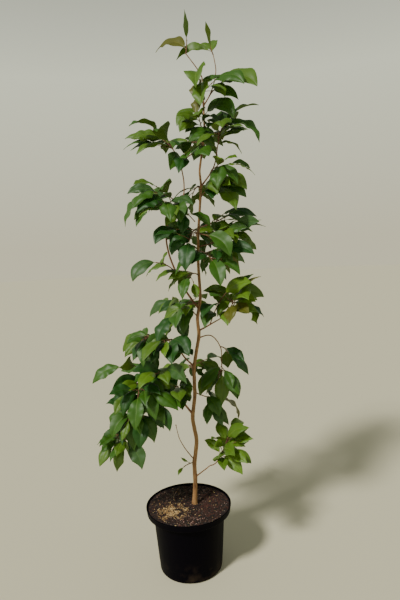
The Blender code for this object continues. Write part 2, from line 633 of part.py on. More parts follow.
def keep_largest_body(mesh):
    """Drops loose scraps that the join may leave beside the mass, and points midway along straight edges."""
    cage = bmesh.new()
    cage.from_mesh(mesh)
    bmesh.ops.remove_doubles(cage, verts=cage.verts, dist=0.000001)
    left = set(cage.verts)
    bodies = []
    while left:
        body, edge = set(), [left.pop()]
        while edge:
            vert = edge.pop()
            body.add(vert)
            near = {link.other_vert(vert) for link in vert.link_edges} & left
            left -= near
            edge += near
        bodies.append(body)
    largest = max(bodies, key=len)
    scraps = [vert for body in bodies if body is not largest for vert in body]
    bmesh.ops.delete(cage, geom=scraps, context="VERTS")
    midway = [vert for vert in cage.verts if len(vert.link_edges) == 2]
    bmesh.ops.dissolve_verts(cage, verts=midway)
    bmesh.ops.triangulate(cage, faces=cage.faces)
    cage.to_mesh(mesh)
    cage.free()


def make_mass(spray, collection, helpers, material):
    """A mass of foliage: stem, side twigs and leaves joined into one solid."""
    mass = mesh_object(f"foliage_{spray.name}", *twig_solid(spray.stem, TWIG_SIDES), collection)
    pieces = new_collection(f"pieces_{spray.name}", helpers)
    for i, twig in enumerate(spray.twigs):
        mesh_object(f"{spray.name}_twig_{i}", *twig_solid(twig, TWIG_SIDES), pieces)
    for i, leaf in enumerate(spray.leaves):
        mesh_object(f"{spray.name}_leaf_{i}", *leaf_solid(leaf), pieces)
    join = mass.modifiers.new("Join", "BOOLEAN")
    join.operation = "UNION"
    join.operand_type = "COLLECTION"
    join.collection = pieces
    join.solver = "MANIFOLD"
    graph = bpy.context.evaluated_depsgraph_get()
    joined = bpy.data.meshes.new_from_object(mass.evaluated_get(graph))
    mass.modifiers.clear()
    mass.data = joined
    for piece in list(pieces.objects):
        bpy.data.objects.remove(piece, do_unlink=True)
    helpers.children.unlink(pieces)
    bpy.data.collections.remove(pieces)
    keep_largest_body(joined)
    joined.materials.clear()
    joined.materials.append(material)
    return mass


def build():
    clear_scene()
    root = bpy.context.scene.collection
    parts = new_collection(OBJECT_NAME, root)
    cutters = new_collection("cutters", root)
    helpers = new_collection("helpers", root)
    make_pot(parts, cutters)
    make_soil(parts)
    limbs, sprays = grow_plant()
    trunk_bark = plain_material("trunk_bark", (0.33, 0.19, 0.085), 0.75)
    bough_bark = plain_material("bough_bark", (0.20, 0.085, 0.045), 0.70)
    make_limb("trunk", limbs.pop("trunk"), 8, parts, trunk_bark)
    for name, limb in limbs.items():
        make_limb(name, limb, 6, parts, bough_bark)
    greens = [plain_material(f"leaf_green_{i + 1}", colour, 0.45) for i, colour in enumerate(LEAF_GREENS)]
    for i, spray in enumerate(sprays):
        make_mass(spray, parts, helpers, greens[i % len(greens)])
    root.children.unlink(helpers)
    bpy.data.collections.remove(helpers)


build()
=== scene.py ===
"""The looks of a potted stewartia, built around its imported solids.

Metres, +Z up. The origin is the middle of the pot's flat underside, +X is the right and -Y the front.
The trunk, the boughs and every stem, twig and leaf grow here by the same rule and from the same named
streams of chance as the solids do, and then get their bark, buds, stalks and finely shaped blades.
"""

import json
import math
import random
from collections import namedtuple

import bpy
from mathutils import Matrix, Vector, noise
from mathutils.bvhtree import BVHTree

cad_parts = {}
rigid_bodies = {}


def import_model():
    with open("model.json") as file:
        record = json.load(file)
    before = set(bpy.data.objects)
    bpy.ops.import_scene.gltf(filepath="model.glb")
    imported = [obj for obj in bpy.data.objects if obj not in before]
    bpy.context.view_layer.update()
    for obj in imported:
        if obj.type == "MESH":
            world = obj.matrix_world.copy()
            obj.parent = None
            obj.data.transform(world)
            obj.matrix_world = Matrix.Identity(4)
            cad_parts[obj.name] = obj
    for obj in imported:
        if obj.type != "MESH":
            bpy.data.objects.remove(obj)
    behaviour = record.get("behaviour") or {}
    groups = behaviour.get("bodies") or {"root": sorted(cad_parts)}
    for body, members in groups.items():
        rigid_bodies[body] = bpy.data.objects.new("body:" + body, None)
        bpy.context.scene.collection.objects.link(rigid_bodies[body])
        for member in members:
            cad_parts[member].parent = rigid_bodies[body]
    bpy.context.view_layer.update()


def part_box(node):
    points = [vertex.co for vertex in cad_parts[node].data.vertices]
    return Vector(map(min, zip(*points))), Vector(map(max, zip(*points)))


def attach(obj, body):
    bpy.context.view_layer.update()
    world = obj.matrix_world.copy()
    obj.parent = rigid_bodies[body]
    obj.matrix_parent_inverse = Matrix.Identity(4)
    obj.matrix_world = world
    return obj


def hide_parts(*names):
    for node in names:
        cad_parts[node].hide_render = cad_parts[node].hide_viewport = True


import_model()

UP = Vector((0.0, 0.0, 1.0))
CLEARANCE = 0.0003

# Pot and soil
POT_HEIGHT = 0.174
RIM_RADIUS = 0.1125
LIP_RADIUS = 0.1105
LIP_HEIGHT = 0.017
NECK_RADIUS = 0.0940
SHOULDER_DROP = 0.005
FOOT_RADIUS = 0.0830
FOOT_ROUNDING = 0.004
EDGE_ROUNDING = 0.0012
POT_WALL = 0.0025
SOIL_BELOW_RIM = 0.010
SOIL_TUCK = 0.0002
DRAIN_HOLES = 6
DRAIN_RADIUS = 0.0065
DRAIN_RING_RADIUS = 0.058
TURNED_STEPS = 32

SOIL_TOP = POT_HEIGHT - SOIL_BELOW_RIM

# Trunk, from its flat foot on the soil to its fork
TRUNK_FOOT = Vector((0.016, 0.006, SOIL_TOP + CLEARANCE))
TRUNK_FORK = Vector((0.085, 0.012, 1.212))
TRUNK_BASE_RADIUS = 0.0058
TRUNK_FORK_RADIUS = 0.0021
FLARE_RADIUS = 0.0040
FLARE_HEIGHT = 0.010
FOOT_CUT_HEIGHT = 0.002

# How far the trunk wanders off a straight line, as (height, sideways, depth)
TRUNK_BENDS = (
    (0.230, 0.000, 0.000),
    (0.280, -0.003, 0.002),
    (0.345, 0.001, -0.002),
    (0.402, -0.010, 0.000),
    (0.465, -0.006, 0.002),
    (0.542, -0.009, -0.002),
    (0.620, 0.001, 0.001),
    (0.668, -0.003, -0.002),
    (0.720, 0.003, 0.000),
    (0.808, -0.004, 0.002),
    (0.895, -0.005, -0.002),
    (0.998, -0.001, 0.001),
    (1.040, -0.005, 0.000),
    (1.128, 0.004, -0.001),
)

BoughRow = namedtuple("BoughRow", "name parent at base_radius tip_radius bends")

# Boughs: where each leaves its parent (a height on the trunk, a share of a bough), and what it bends through
BOUGHS = (
    BoughRow("left_leader", "trunk", 1.0, 0.0018, 0.0010,
             ((0.086, 0.010, 1.235), (0.083, 0.006, 1.260), (0.068, 0.000, 1.284), (0.046, -0.005, 1.312))),
    BoughRow("right_leader", "trunk", 0.982, 0.0016, 0.0010,
             ((0.100, 0.020, 1.217), (0.112, 0.022, 1.245), (0.119, 0.020, 1.278), (0.114, 0.016, 1.312))),
    BoughRow("upper_right_bough", "trunk", 0.797, 0.0020, 0.0014,
             ((0.088, 0.002, 1.020), (0.102, -0.012, 1.040), (0.109, -0.020, 1.060))),
    BoughRow("upper_left_bough", "trunk", 0.505, 0.0027, 0.0013,
             ((0.021, -0.008, 0.740), (-0.010, -0.032, 0.815), (-0.020, -0.045, 0.875),
              (-0.008, -0.043, 0.922), (0.026, -0.032, 0.975), (0.026, -0.032, 1.030),
              (0.015, -0.030, 1.070))),
    BoughRow("middle_left_bough", "trunk", 0.361, 0.0023, 0.0013,
             ((0.010, 0.000, 0.567), (-0.005, -0.010, 0.592), (-0.030, -0.022, 0.620),
              (-0.055, -0.030, 0.630))),
    BoughRow("lower_left_bough", "trunk", 0.238, 0.0028, 0.0015,
             ((0.000, 0.000, 0.450), (-0.017, -0.010, 0.490), (-0.050, -0.022, 0.516),
              (-0.105, -0.030, 0.515))),
    BoughRow("lower_left_fork", "lower_left_bough", 0.72, 0.0019, 0.0013,
             ((-0.095, -0.045, 0.492), (-0.125, -0.060, 0.460), (-0.145, -0.062, 0.425))),
    BoughRow("thin_left_twig", "trunk", 0.118, 0.0014, 0.0008,
             ((0.001, -0.003, 0.322), (-0.015, -0.006, 0.355), (-0.022, -0.008, 0.390))),
    BoughRow("lower_right_bough", "trunk", 0.074, 0.0018, 0.0013,
             ((0.040, -0.006, 0.262), (0.062, -0.014, 0.282))),
    BoughRow("middle_right_arc", "trunk", 0.432, 0.0015, 0.0011,
             ((0.072, 0.012, 0.622), (0.090, 0.020, 0.610), (0.104, 0.027, 0.580), (0.104, 0.030, 0.540))),
    BoughRow("middle_right_bough", "trunk", 0.450, 0.0021, 0.0014,
             ((0.066, 0.002, 0.645), (0.085, -0.014, 0.658), (0.102, -0.022, 0.668))),
)

SprayRow = namedtuple("SprayRow", "name parent at tip arch leaves leaf_length hang turn", defaults=(0,))

# Masses of foliage: where the stem starts, where it ends, how far it bows upward, how many leaves it
# carries, how long they are, how far, in degrees, each blade turns down from its root to its tip, and
# how far round the stem its first leaf is turned
SPRAYS = (
    SprayRow("top_left", "left_leader", 0.970, (0.051, -0.008, 1.337), 0.000, 2, 0.115, 75, -65),
    SprayRow("top_right", "right_leader", 1.0, (0.109, 0.013, 1.324), 0.000, 3, 0.105, 55, -70),
    SprayRow("top_long_leaf", "right_leader", 0.20, (0.119, 0.006, 1.232), 0.002, 1, 0.125, 102),
    SprayRow("fork_front", "trunk", 0.968, (0.076, -0.052, 1.238), 0.012, 6, 0.100, 95, 70),
    SprayRow("upper_left_leaf", "trunk", 0.948, (0.081, -0.012, 1.169), 0.002, 6, 0.100, 98),
    SprayRow("upper_right_tip", "upper_right_bough", 1.0, (0.135, -0.024, 1.136), 0.024, 13, 0.094, 80),
    SprayRow("upper_right_low", "upper_right_bough", 0.45, (0.103, -0.080, 1.029), 0.005, 8, 0.078, 68),
    SprayRow("upper_right_inner", "trunk", 0.770, (0.110, -0.045, 0.988), 0.010, 9, 0.094, 70),
    SprayRow("upper_front", "trunk", 0.908, (0.072, -0.055, 1.145), 0.006, 8, 0.069, 75),
    SprayRow("upper_left_tip", "upper_left_bough", 1.0, (-0.012, -0.030, 1.104), 0.004, 6, 0.096, 88),
    SprayRow("upper_left_side", "upper_left_bough", 0.93, (0.048, -0.068, 1.063), 0.004, 7, 0.090, 70),
    SprayRow("left_cluster_outer", "upper_left_bough", 0.70, (-0.049, -0.050, 0.975), 0.014, 11, 0.097, 80),
    SprayRow("left_cluster_inner", "upper_left_bough", 0.60, (-0.012, -0.110, 0.955), 0.012, 8, 0.083, 75),
    SprayRow("left_cluster_near", "upper_left_bough", 0.66, (0.049, -0.080, 0.912), 0.008, 9, 0.076, 70),
    SprayRow("right_pair", "trunk", 0.700, (0.132, 0.030, 0.923), -0.002, 6, 0.083, 78),
    SprayRow("right_upper_middle", "trunk", 0.655, (0.144, -0.040, 0.884), -0.006, 13, 0.076, 55),
    SprayRow("middle_front_left", "trunk", 0.690, (0.036, -0.100, 0.864), 0.014, 11, 0.076, 80),
    SprayRow("middle_front_right", "trunk", 0.622, (0.086, -0.105, 0.820), 0.016, 10, 0.076, 80),
    SprayRow("middle_back", "trunk", 0.668, (0.045, 0.125, 0.880), 0.016, 7, 0.078, 60),
    SprayRow("bright_front", "trunk", 0.585, (0.028, -0.085, 0.780), 0.008, 9, 0.067, 70),
    SprayRow("left_pair", "upper_left_bough", 0.26, (-0.044, -0.056, 0.817), 0.006, 3, 0.078, 75),
    SprayRow("left_below", "trunk", 0.520, (-0.009, -0.052, 0.686), 0.008, 9, 0.081, 65),
    SprayRow("middle_right_tip", "middle_right_bough", 1.0, (0.144, -0.040, 0.721), -0.004, 10, 0.088, 80),
    SprayRow("middle_right_near", "middle_right_bough", 0.50, (0.114, -0.072, 0.734), 0.008, 8, 0.088, 68),
    SprayRow("middle_right_arc_tip", "middle_right_arc", 1.0, (0.104, 0.024, 0.520), 0.000, 10, 0.078, 50),
    SprayRow("middle_right_arc_side", "middle_right_arc", 0.60, (0.121, 0.026, 0.572), 0.005, 3, 0.074, 45),
    SprayRow("lower_right_twig", "trunk", 0.295, (0.099, 0.030, 0.444), -0.004, 6, 0.088, 125),
    SprayRow("lower_right_tip", "lower_right_bough", 1.0, (0.108, -0.030, 0.358), -0.018, 13, 0.072, 66),
    SprayRow("middle_left_tip", "middle_left_bough", 1.0, (-0.089, -0.045, 0.627), 0.006, 11, 0.074, 62),
    SprayRow("middle_left_front", "middle_left_bough", 0.62, (-0.022, -0.085, 0.631), 0.008, 10, 0.081, 68),
    SprayRow("middle_left_inner", "middle_left_bough", 0.36, (0.008, -0.045, 0.614), 0.004, 4, 0.058, 55),
    SprayRow("lower_left_far", "lower_left_bough", 0.80, (-0.144, -0.052, 0.563), 0.018, 3, 0.081, 62),
    SprayRow("lower_left_middle", "lower_left_bough", 0.52, (-0.058, -0.085, 0.552), 0.012, 11, 0.081, 65),
    SprayRow("lower_left_tip", "lower_left_bough", 0.97, (-0.102, -0.110, 0.506), 0.014, 11, 0.078, 68),
    SprayRow("lower_left_outer", "lower_left_fork", 0.680, (-0.122, -0.088, 0.451), 0.014, 11, 0.076, 68),
    SprayRow("lower_left_droop", "lower_left_fork", 1.0, (-0.151, -0.072, 0.381), 0.004, 13, 0.072, 48),
    SprayRow("lower_left_inner", "lower_left_fork", 0.30, (-0.094, -0.096, 0.455), 0.010, 8, 0.074, 60),
    SprayRow("lower_left_near", "lower_left_bough", 0.30, (-0.012, -0.072, 0.511), 0.012, 10, 0.072, 48),
    SprayRow("lower_left_back", "lower_left_bough", 0.60, (-0.090, 0.080, 0.482), 0.020, 11, 0.081, 60),
    SprayRow("foot_shoot", "trunk", 0.112, (-0.004, -0.006, 0.280), 0.002, 2, 0.024, 20),
    SprayRow("lower_back", "trunk", 0.330, (0.016, 0.140, 0.510), 0.016, 11, 0.078, 60),
    SprayRow("middle_back_left", "trunk", 0.485, (-0.032, 0.130, 0.696), 0.016, 9, 0.078, 60),
    SprayRow("middle_back_right", "trunk", 0.630, (0.105, 0.110, 0.806), 0.014, 9, 0.076, 60),
    SprayRow("upper_back", "trunk", 0.790, (0.046, 0.120, 0.985), 0.014, 7, 0.078, 60),
    SprayRow("top_back", "trunk", 0.885, (0.078, 0.090, 1.114), 0.010, 6, 0.072, 60),
)

# Stems and their side twigs
GROWTH_SEED = 1
STEM_BASE_RADIUS = 0.0015
STEM_TIP_RADIUS = 0.0011
STEM_STEPS = 5
LEAVES_BEFORE_TWIGS = 2
LEAVES_FOR_A_TWIG = 4
FIRST_TWIG_SHARE = 0.42
TWIG_STRETCH = 0.30
TWIG_SIDES = 4
TWIG_STEPS = 2
TWIG_SHARE = 0.42
TWIG_OPENING = 48
TWIG_ARCH_SHARE = 0.05
TWIG_RADIUS_SHARE = 0.85

# Where leaves sit on a stem or a twig, and how they leave it
LEAVES_PER_TWIG = 2
STEM_BARE_SHARE = 0.30
TWIG_BARE_SHARE = 0.55
LAST_SIDE_SHARE = 0.94
END_LEAF_SHARE = 0.985
SHARE_SPREAD = 0.03
UPRIGHT_SLOPE = 0.75
SPIRAL_TURN = 137.5
ALTERNATE_TURN = 180.0
TURN_SPREAD = 28
LEAF_OPENING = 52
END_LEAF_OPENING = 8
OPENING_SPREAD = 12
LEAF_LIFT = 0.15
LIFT_SPREAD = 0.15
LEAF_TRIES = 10
TEST_MARGIN = 0.0007

# Which way blades face, at the foot and at the top of the tree
LIGHT_LOW = Vector((-0.25, -0.70, 0.55))
LIGHT_HIGH = Vector((-0.22, -0.45, 0.76))
LIGHT_SPREAD = 0.42
OUTWARD_TURN = 0.35

# Stretches of the trunk, as shares of it, that show between the leaves from a point in front of the tree
TRUNK_SHOWS = ((0.080, 0.545), (0.573, 0.607), (0.655, 0.721), (0.750, 0.869))
FRONT_VIEW = Vector((0.055, -1.26, 0.86))
SIGHT_HALF_WIDTH = 0.004
SIGHT_REACH = 0.20
SIGHT_STEPS = 10

# The shape of a leaf
LEAF_WIDTH_SHARE = 0.45
WIDTH_SPREAD = 0.12
SMALLEST_LEAF = 0.66
LEAF_FOLD = 16
HANG_SPREAD = 18
HANG_LIMIT = 0.92
LEAF_THICKNESS_SHARE = 0.020
PETIOLE_LENGTH = 0.009
PETIOLE_HALF_WIDTH = 0.0007

# Young leaves, still rolled up, stand at the very top
YOUNG_HEIGHT = 1.30
YOUNG_LENGTH = 0.50
YOUNG_WIDTH = 0.34
YOUNG_BEND = 0.20

# Where the blade's sections lie along it, with their share of the full width
BLADE_SECTIONS = ((0.25, 0.88), (0.62, 0.88), (1.0, 0.0))

Limb = namedtuple("Limb", "points radii")
Leaf = namedtuple("Leaf", "root aim light length width bend")
Spray = namedtuple("Spray", "name stem twigs leaves")


def chance(*key):
    """A random stream of its own for each named thing, so that one change leaves the others alone."""
    return random.Random("-".join(str(word) for word in (GROWTH_SEED, *key)))


def smooth_path(points, steps):
    """A smooth curve through the points, with a few steps between each pair."""
    ends = [2 * points[0] - points[1], *points, 2 * points[-1] - points[-2]]
    path = []
    for i in range(1, len(ends) - 2):
        before, start, end, after = ends[i - 1:i + 3]
        for step in range(steps):
            t = step / steps
            path.append(0.5 * (2 * start + (end - before) * t
                               + (2 * before - 5 * start + 4 * end - after) * t * t
                               + (3 * start - before - 3 * end + after) * t ** 3))
    return [*path, points[-1].copy()]


def shares_along(points):
    """How far along the path each point lies, from 0 to 1."""
    reach = [0.0]
    for start, end in zip(points, points[1:]):
        reach.append(reach[-1] + (end - start).length)
    return [length / reach[-1] for length in reach]


def limb_at(limb, share):
    """The place, the heading and the radius of a limb at a share of its length."""
    shares = shares_along(limb.points)
    last = len(shares) - 2
    i = next((k for k in range(last) if share < shares[k + 1]), last)
    t = (share - shares[i]) / (shares[i + 1] - shares[i])
    place = limb.points[i].lerp(limb.points[i + 1], t)
    heading = (limb.points[i + 1] - limb.points[i]).normalized()
    return place, heading, limb.radii[i] + (limb.radii[i + 1] - limb.radii[i]) * t


def tapered(points, base_radius, tip_radius):
    return Limb(points, [base_radius + (tip_radius - base_radius) * s for s in shares_along(points)])


def start_distance(parent_heading, parent_radius, heading, radius, at_tip):
    """How far from the parent's axis a limb's flat root starts, to lie just clear of the parent."""
    along = min(1.0, abs(heading.dot(parent_heading)))
    across = max(0.35, math.sqrt(1.0 - along * along))
    if at_tip:
        return (CLEARANCE + radius * across) / max(0.35, along)
    return (parent_radius + CLEARANCE + radius * along) / across


def trim_start(points, distance):
    """The path with its first stretch, of the given length, cut off."""
    rest = list(points)
    while (rest[1] - rest[0]).length <= distance:
        distance -= (rest[1] - rest[0]).length
        rest.pop(0)
    rest[0] = rest[0] + (rest[1] - rest[0]).normalized() * distance
    return rest


def grow_trunk():
    """A slender, wandering, tapering trunk with a small flare at its foot."""
    lean = TRUNK_FORK - TRUNK_FOOT
    knots = [TRUNK_FOOT, TRUNK_FOOT + UP * FLARE_HEIGHT]
    for height, sideways, depth in TRUNK_BENDS:
        share = (height - TRUNK_FOOT.z) / lean.z
        knots.append(TRUNK_FOOT + lean * share + Vector((sideways, depth, 0.0)))
    points = smooth_path([*knots, TRUNK_FORK], 2)
    points.insert(1, TRUNK_FOOT + UP * FOOT_CUT_HEIGHT)
    limb = tapered(points, TRUNK_BASE_RADIUS, TRUNK_FORK_RADIUS)
    flare = [FLARE_RADIUS * math.exp(-(p.z - TRUNK_FOOT.z) / FLARE_HEIGHT) for p in points]
    return Limb(points, [radius + extra for radius, extra in zip(limb.radii, flare)])


def grow_from(parent, at, points, base_radius, tip_radius):
    """A tapering limb through the points, started just clear of its parent."""
    place, heading, radius = limb_at(parent, at)
    path = [place, *points]
    first = (path[1] - path[0]).normalized()
    gap = start_distance(heading, radius, first, base_radius, at >= 1.0)
    return tapered(trim_start(path, gap), base_radius, tip_radius)


def grow_boughs(limbs):
    for row in BOUGHS:
        parent = limbs[row.parent]
        place = limb_at(parent, row.at)[0]
        path = smooth_path([place, *map(Vector, row.bends)], 2)
        limbs[row.name] = grow_from(parent, row.at, path[1:], row.base_radius, row.tip_radius)


def bowed_path(start, end, arch, steps):
    """A path from start to end that bows upward by arch at its middle."""
    middle = (start + end) / 2 + UP * 2 * arch
    shares = [step / steps for step in range(steps + 1)]
    return [start * (1 - t) ** 2 + middle * 2 * t * (1 - t) + end * t * t for t in shares]


def sideways_from(heading):
    """A level direction square to the heading."""
    level = heading.cross(UP)
    return level.normalized() if level.length > 0.2 else heading.cross(Vector((0.0, 1.0, 0.0))).normalized()


def grow_twigs(row, stem, obstacles):
    """Side twigs on alternate sides of a stem, left out where one would touch something."""
    count = max(0, (row.leaves - LEAVES_BEFORE_TWIGS) // LEAVES_FOR_A_TWIG)
    reach = (stem.points[-1] - stem.points[0]).length * TWIG_SHARE
    twigs = []
    for i in range(count):
        luck = chance(row.name, "twig", i)
        share = FIRST_TWIG_SHARE + TWIG_STRETCH * i / max(1, count - 1) + luck.uniform(-0.04, 0.04)
        place, heading, radius = limb_at(stem, share)
        side = sideways_from(heading) * (1 if (i + row.leaves) % 2 else -1)
        opening = math.radians(TWIG_OPENING + luck.uniform(-8, 8))
        aim = heading * math.cos(opening) + side * math.sin(opening) + UP * luck.uniform(-0.1, 0.25)
        end = place + aim.normalized() * reach * luck.uniform(0.85, 1.15)
        path = bowed_path(place, end, TWIG_ARCH_SHARE * reach, TWIG_STEPS)
        twig = tapered(path, radius * TWIG_RADIUS_SHARE, STEM_TIP_RADIUS * TWIG_RADIUS_SHARE)
        tree = test_tree(twig_solid(twig, TWIG_SIDES, TEST_MARGIN))
        if not any(owner is not stem and tree.overlap(other) for owner, other in obstacles):
            obstacles.append((twig, tree))
            twigs.append(twig)
    return twigs


def leaf_on(row, limb, share, index, last, luck):
    """One leaf: alternate on a level twig, in a spiral on an upright one, and in line at the tip."""
    place, heading, _ = limb_at(limb, share)
    step = SPIRAL_TURN if abs(heading.z) > UPRIGHT_SLOPE else ALTERNATE_TURN
    turn = math.radians(row.turn + index * step + luck.uniform(-TURN_SPREAD, TURN_SPREAD))
    side = sideways_from(heading)
    outward = side * math.cos(turn) + heading.cross(side) * math.sin(turn)
    opening = END_LEAF_OPENING if last else LEAF_OPENING
    opening = math.radians(opening + luck.uniform(-OPENING_SPREAD, OPENING_SPREAD))
    aim = heading * math.cos(opening) + outward * math.sin(opening)
    aim = (aim + UP * (LEAF_LIFT + luck.uniform(-LIFT_SPREAD, LIFT_SPREAD))).normalized()
    light = LIGHT_LOW.lerp(LIGHT_HIGH, place.z / TRUNK_FORK.z)
    light = light + Vector([luck.uniform(-LIGHT_SPREAD, LIGHT_SPREAD) for _ in range(3)])
    light = light + Vector((heading.x, heading.y, 0.0)) * OUTWARD_TURN
    length = row.leaf_length * luck.uniform(SMALLEST_LEAF, 1.0) if not last else row.leaf_length
    width = length * LEAF_WIDTH_SHARE * luck.uniform(1.0 - WIDTH_SPREAD, 1.0 + WIDTH_SPREAD)
    room = math.pi - aim.angle(UP)
    bend = min(math.radians(row.hang + luck.uniform(-HANG_SPREAD, HANG_SPREAD)), HANG_LIMIT * room)
    if last and place.z > YOUNG_HEIGHT:
        length *= YOUNG_LENGTH
        width *= YOUNG_WIDTH
        bend *= YOUNG_BEND
    return Leaf(place, aim, light.normalized(), length, width, bend)


def blade_at(leaf, share):
    """The place and the frame of a leaf's midrib at a share of its blade, which hangs and faces the light."""
    down = (leaf.aim * leaf.aim.z - UP).normalized()
    place = leaf.root + leaf.aim * PETIOLE_LENGTH
    steps = 6
    for step in range(steps):
        angle = leaf.bend * share * (step + 0.5) / steps
        place += (leaf.aim * math.cos(angle) + down * math.sin(angle)) * leaf.length * share / steps
    angle = leaf.bend * share
    heading = leaf.aim * math.cos(angle) + down * math.sin(angle)
    normal = (leaf.light - heading * leaf.light.dot(heading)).normalized()
    return place, heading.cross(normal), normal


def leaf_solid(leaf, margin=0.0):
    """A bent, folded blade with its stalk, as points and faces. A margin makes it fatter all round."""
    fold = math.radians(LEAF_FOLD)
    thickness = leaf.length * LEAF_THICKNESS_SHARE / 2 + margin
    stalk = PETIOLE_HALF_WIDTH + margin
    _, side, normal = blade_at(leaf, 0.0)
    sections = [(leaf.root, side, normal, stalk, stalk, 0.0)]
    for share, width_share in BLADE_SECTIONS[:-1]:
        place, side, normal = blade_at(leaf, share)
        half_width = leaf.width / 2 * width_share + margin
        sections.append((place, side, normal, half_width, thickness, fold))
    points = []
    for place, side, normal, half_width, half_thickness, rise in sections:
        out = side * half_width * math.cos(rise)
        up = normal * half_width * math.sin(rise)
        thick = normal * half_thickness
        points += [place + out + up, place - thick, place - out + up, place + thick]
    points.append(blade_at(leaf, 1.0 + margin / leaf.length)[0])
    tip = len(points) - 1
    rings = [range(4 * k, 4 * k + 4) for k in range(len(sections))]
    faces = [tuple(reversed(rings[0]))]
    for ring, after in zip(rings, rings[1:]):
        faces += [(ring[i], ring[(i + 1) % 4], after[(i + 1) % 4], after[i]) for i in range(4)]
    faces += [(rings[-1][i], rings[-1][(i + 1) % 4], tip) for i in range(4)]
    return points, faces


def twig_solid(limb, sides, margin=0.0):
    """A tapering tube with flat ends, as points and faces."""
    points, faces = [], []
    across = sideways_from(limb.points[1] - limb.points[0])
    count = len(limb.points)
    for i, (place, radius) in enumerate(zip(limb.points, limb.radii)):
        heading = (limb.points[min(i + 1, count - 1)] - limb.points[max(i - 1, 0)]).normalized()
        across = (across - heading * across.dot(heading)).normalized()
        other = heading.cross(across)
        for k in range(sides):
            angle = math.tau * k / sides
            points.append(place + (across * math.cos(angle) + other * math.sin(angle)) * (radius + margin))
    for i in range(count - 1):
        a, b = i * sides, (i + 1) * sides
        faces += [(a + k, a + (k + 1) % sides, b + (k + 1) % sides, b + k) for k in range(sides)]
    end = (count - 1) * sides
    return points, [tuple(reversed(range(sides))), *faces, tuple(range(end, end + sides))]


def test_tree(solid):
    points, faces = solid
    return BVHTree.FromPolygons(points, faces)


def sight_curtain(trunk, low, high):
    """Two thin sheets from the trunk's sides towards the front, between which no leaf may grow."""
    points, faces = [], []
    for i in range(SIGHT_STEPS + 1):
        place = limb_at(trunk, low + (high - low) * i / SIGHT_STEPS)[0]
        for shift in (-SIGHT_HALF_WIDTH, SIGHT_HALF_WIDTH):
            start = place + Vector((shift, 0.0, 0.0))
            points += [start, start.lerp(FRONT_VIEW, SIGHT_REACH)]
    for a in range(0, 4 * SIGHT_STEPS, 4):
        faces += [(a, a + 1, a + 5, a + 4), (a + 2, a + 3, a + 7, a + 6)]
    return points, faces


def grow_leaves(row, stem, twigs, obstacles):
    """A stem's leaves, each tried a few ways, and left out where it would touch something."""
    carriers = [(twig, LEAVES_PER_TWIG, TWIG_BARE_SHARE) for twig in twigs]
    on_stem = row.leaves - LEAVES_PER_TWIG * len(twigs)
    carriers.insert(0, (stem, on_stem, STEM_BARE_SHARE))
    leaves = []
    for c, (limb, count, bare) in enumerate(carriers):
        for i in range(count):
            last = i == count - 1
            for attempt in range(LEAF_TRIES):
                luck = chance(row.name, "leaf", c, i, attempt)
                share = END_LEAF_SHARE
                if not last:
                    share = bare + (LAST_SIDE_SHARE - bare) * i / (count - 1)
                    share += luck.uniform(-SHARE_SPREAD, SHARE_SPREAD)
                leaf = leaf_on(row, limb, share, i, last, luck)
                tree = test_tree(leaf_solid(leaf, TEST_MARGIN))
                if not any(limb is not owner and tree.overlap(other) for owner, other in obstacles):
                    obstacles.append((leaf, tree))
                    leaves.append(leaf)
                    break
    return leaves


def grow_plant():
    """Every limb by its name, every mass with its stem, twigs and leaves, and all of them as obstacles."""
    limbs = {"trunk": grow_trunk()}
    grow_boughs(limbs)
    obstacles = [(limb, test_tree(twig_solid(limb, 8, TEST_MARGIN))) for limb in limbs.values()]
    stems = []
    for row in SPRAYS:
        parent = limbs[row.parent]
        path = bowed_path(limb_at(parent, row.at)[0], Vector(row.tip), row.arch, STEM_STEPS)
        stems.append(grow_from(parent, row.at, path[1:], STEM_BASE_RADIUS, STEM_TIP_RADIUS))
    obstacles += [(stem, test_tree(twig_solid(stem, 4, TEST_MARGIN))) for stem in stems]
    frames = [(row, stem, grow_twigs(row, stem, obstacles)) for row, stem in zip(SPRAYS, stems)]
    obstacles += [("sight", test_tree(sight_curtain(limbs["trunk"], *shares))) for shares in TRUNK_SHOWS]
    sprays = [Spray(row.name, stem, twigs, grow_leaves(row, stem, twigs, obstacles))
              for row, stem, twigs in frames]
    return limbs, sprays, obstacles

# Finer growth that the solids leave out
TWIGLETS_PER_LEAF = 0.46
TWIGLET_LENGTH = (0.16, 0.42)
TWIGLET_RADIUS = 0.0007
SMALL_LEAF_SHARE = (0.60, 0.92)
SMALL_LEAF_HANG = 0.65
TWIGLET_LEAVES = 3
TWIGLET_TRIES = 14
SPACE_MARGIN = 0.006
FEWEST_LEAVES_FOR_TWIGLETS = 4

# Finely shaped blades
BLADE_STATIONS = 30
SMALL_BLADE_STATIONS = 12
SMALL_BLADE_LENGTH = 0.045
BLADE_COLUMNS = (0.26, 0.52, 0.78, 1.0)
SMALL_BLADE_COLUMNS = (0.52, 1.0)
RIB_HALF_WIDTH = 0.0007
BLADE_THICKNESS = 0.00036
BLADE_TWIST = 0.40
VEIN_PAIRS = 6
TIP_NARROWING = (0.15, 0.60)
BLADE_FULLNESS = 1.07
VEIN_HEIGHT = 0.00042
VEIN_SLANT = 0.9
TOOTH_SHARE = 0.016
RIM_ANGLE = math.radians(60.0)
PETIOLE_RADIUS = 0.00075
PETIOLE_SIDES = 6
BUD_LENGTH = 0.0042
BUD_RADIUS = 0.0011
TIP_BUD_SIZE = 1.3

# Bark
TRUNK_SIDES = 24
BOUGH_SIDES = 14
TWIG_ROUND_SIDES = 7
TRUNK_RING_STEPS = 10
BOUGH_RING_STEPS = 8
TWIG_RING_STEPS = 3
NODE_SPACING = 0.034
ROOT_SWELLING = 0.42
NEAR_TIP = 0.96

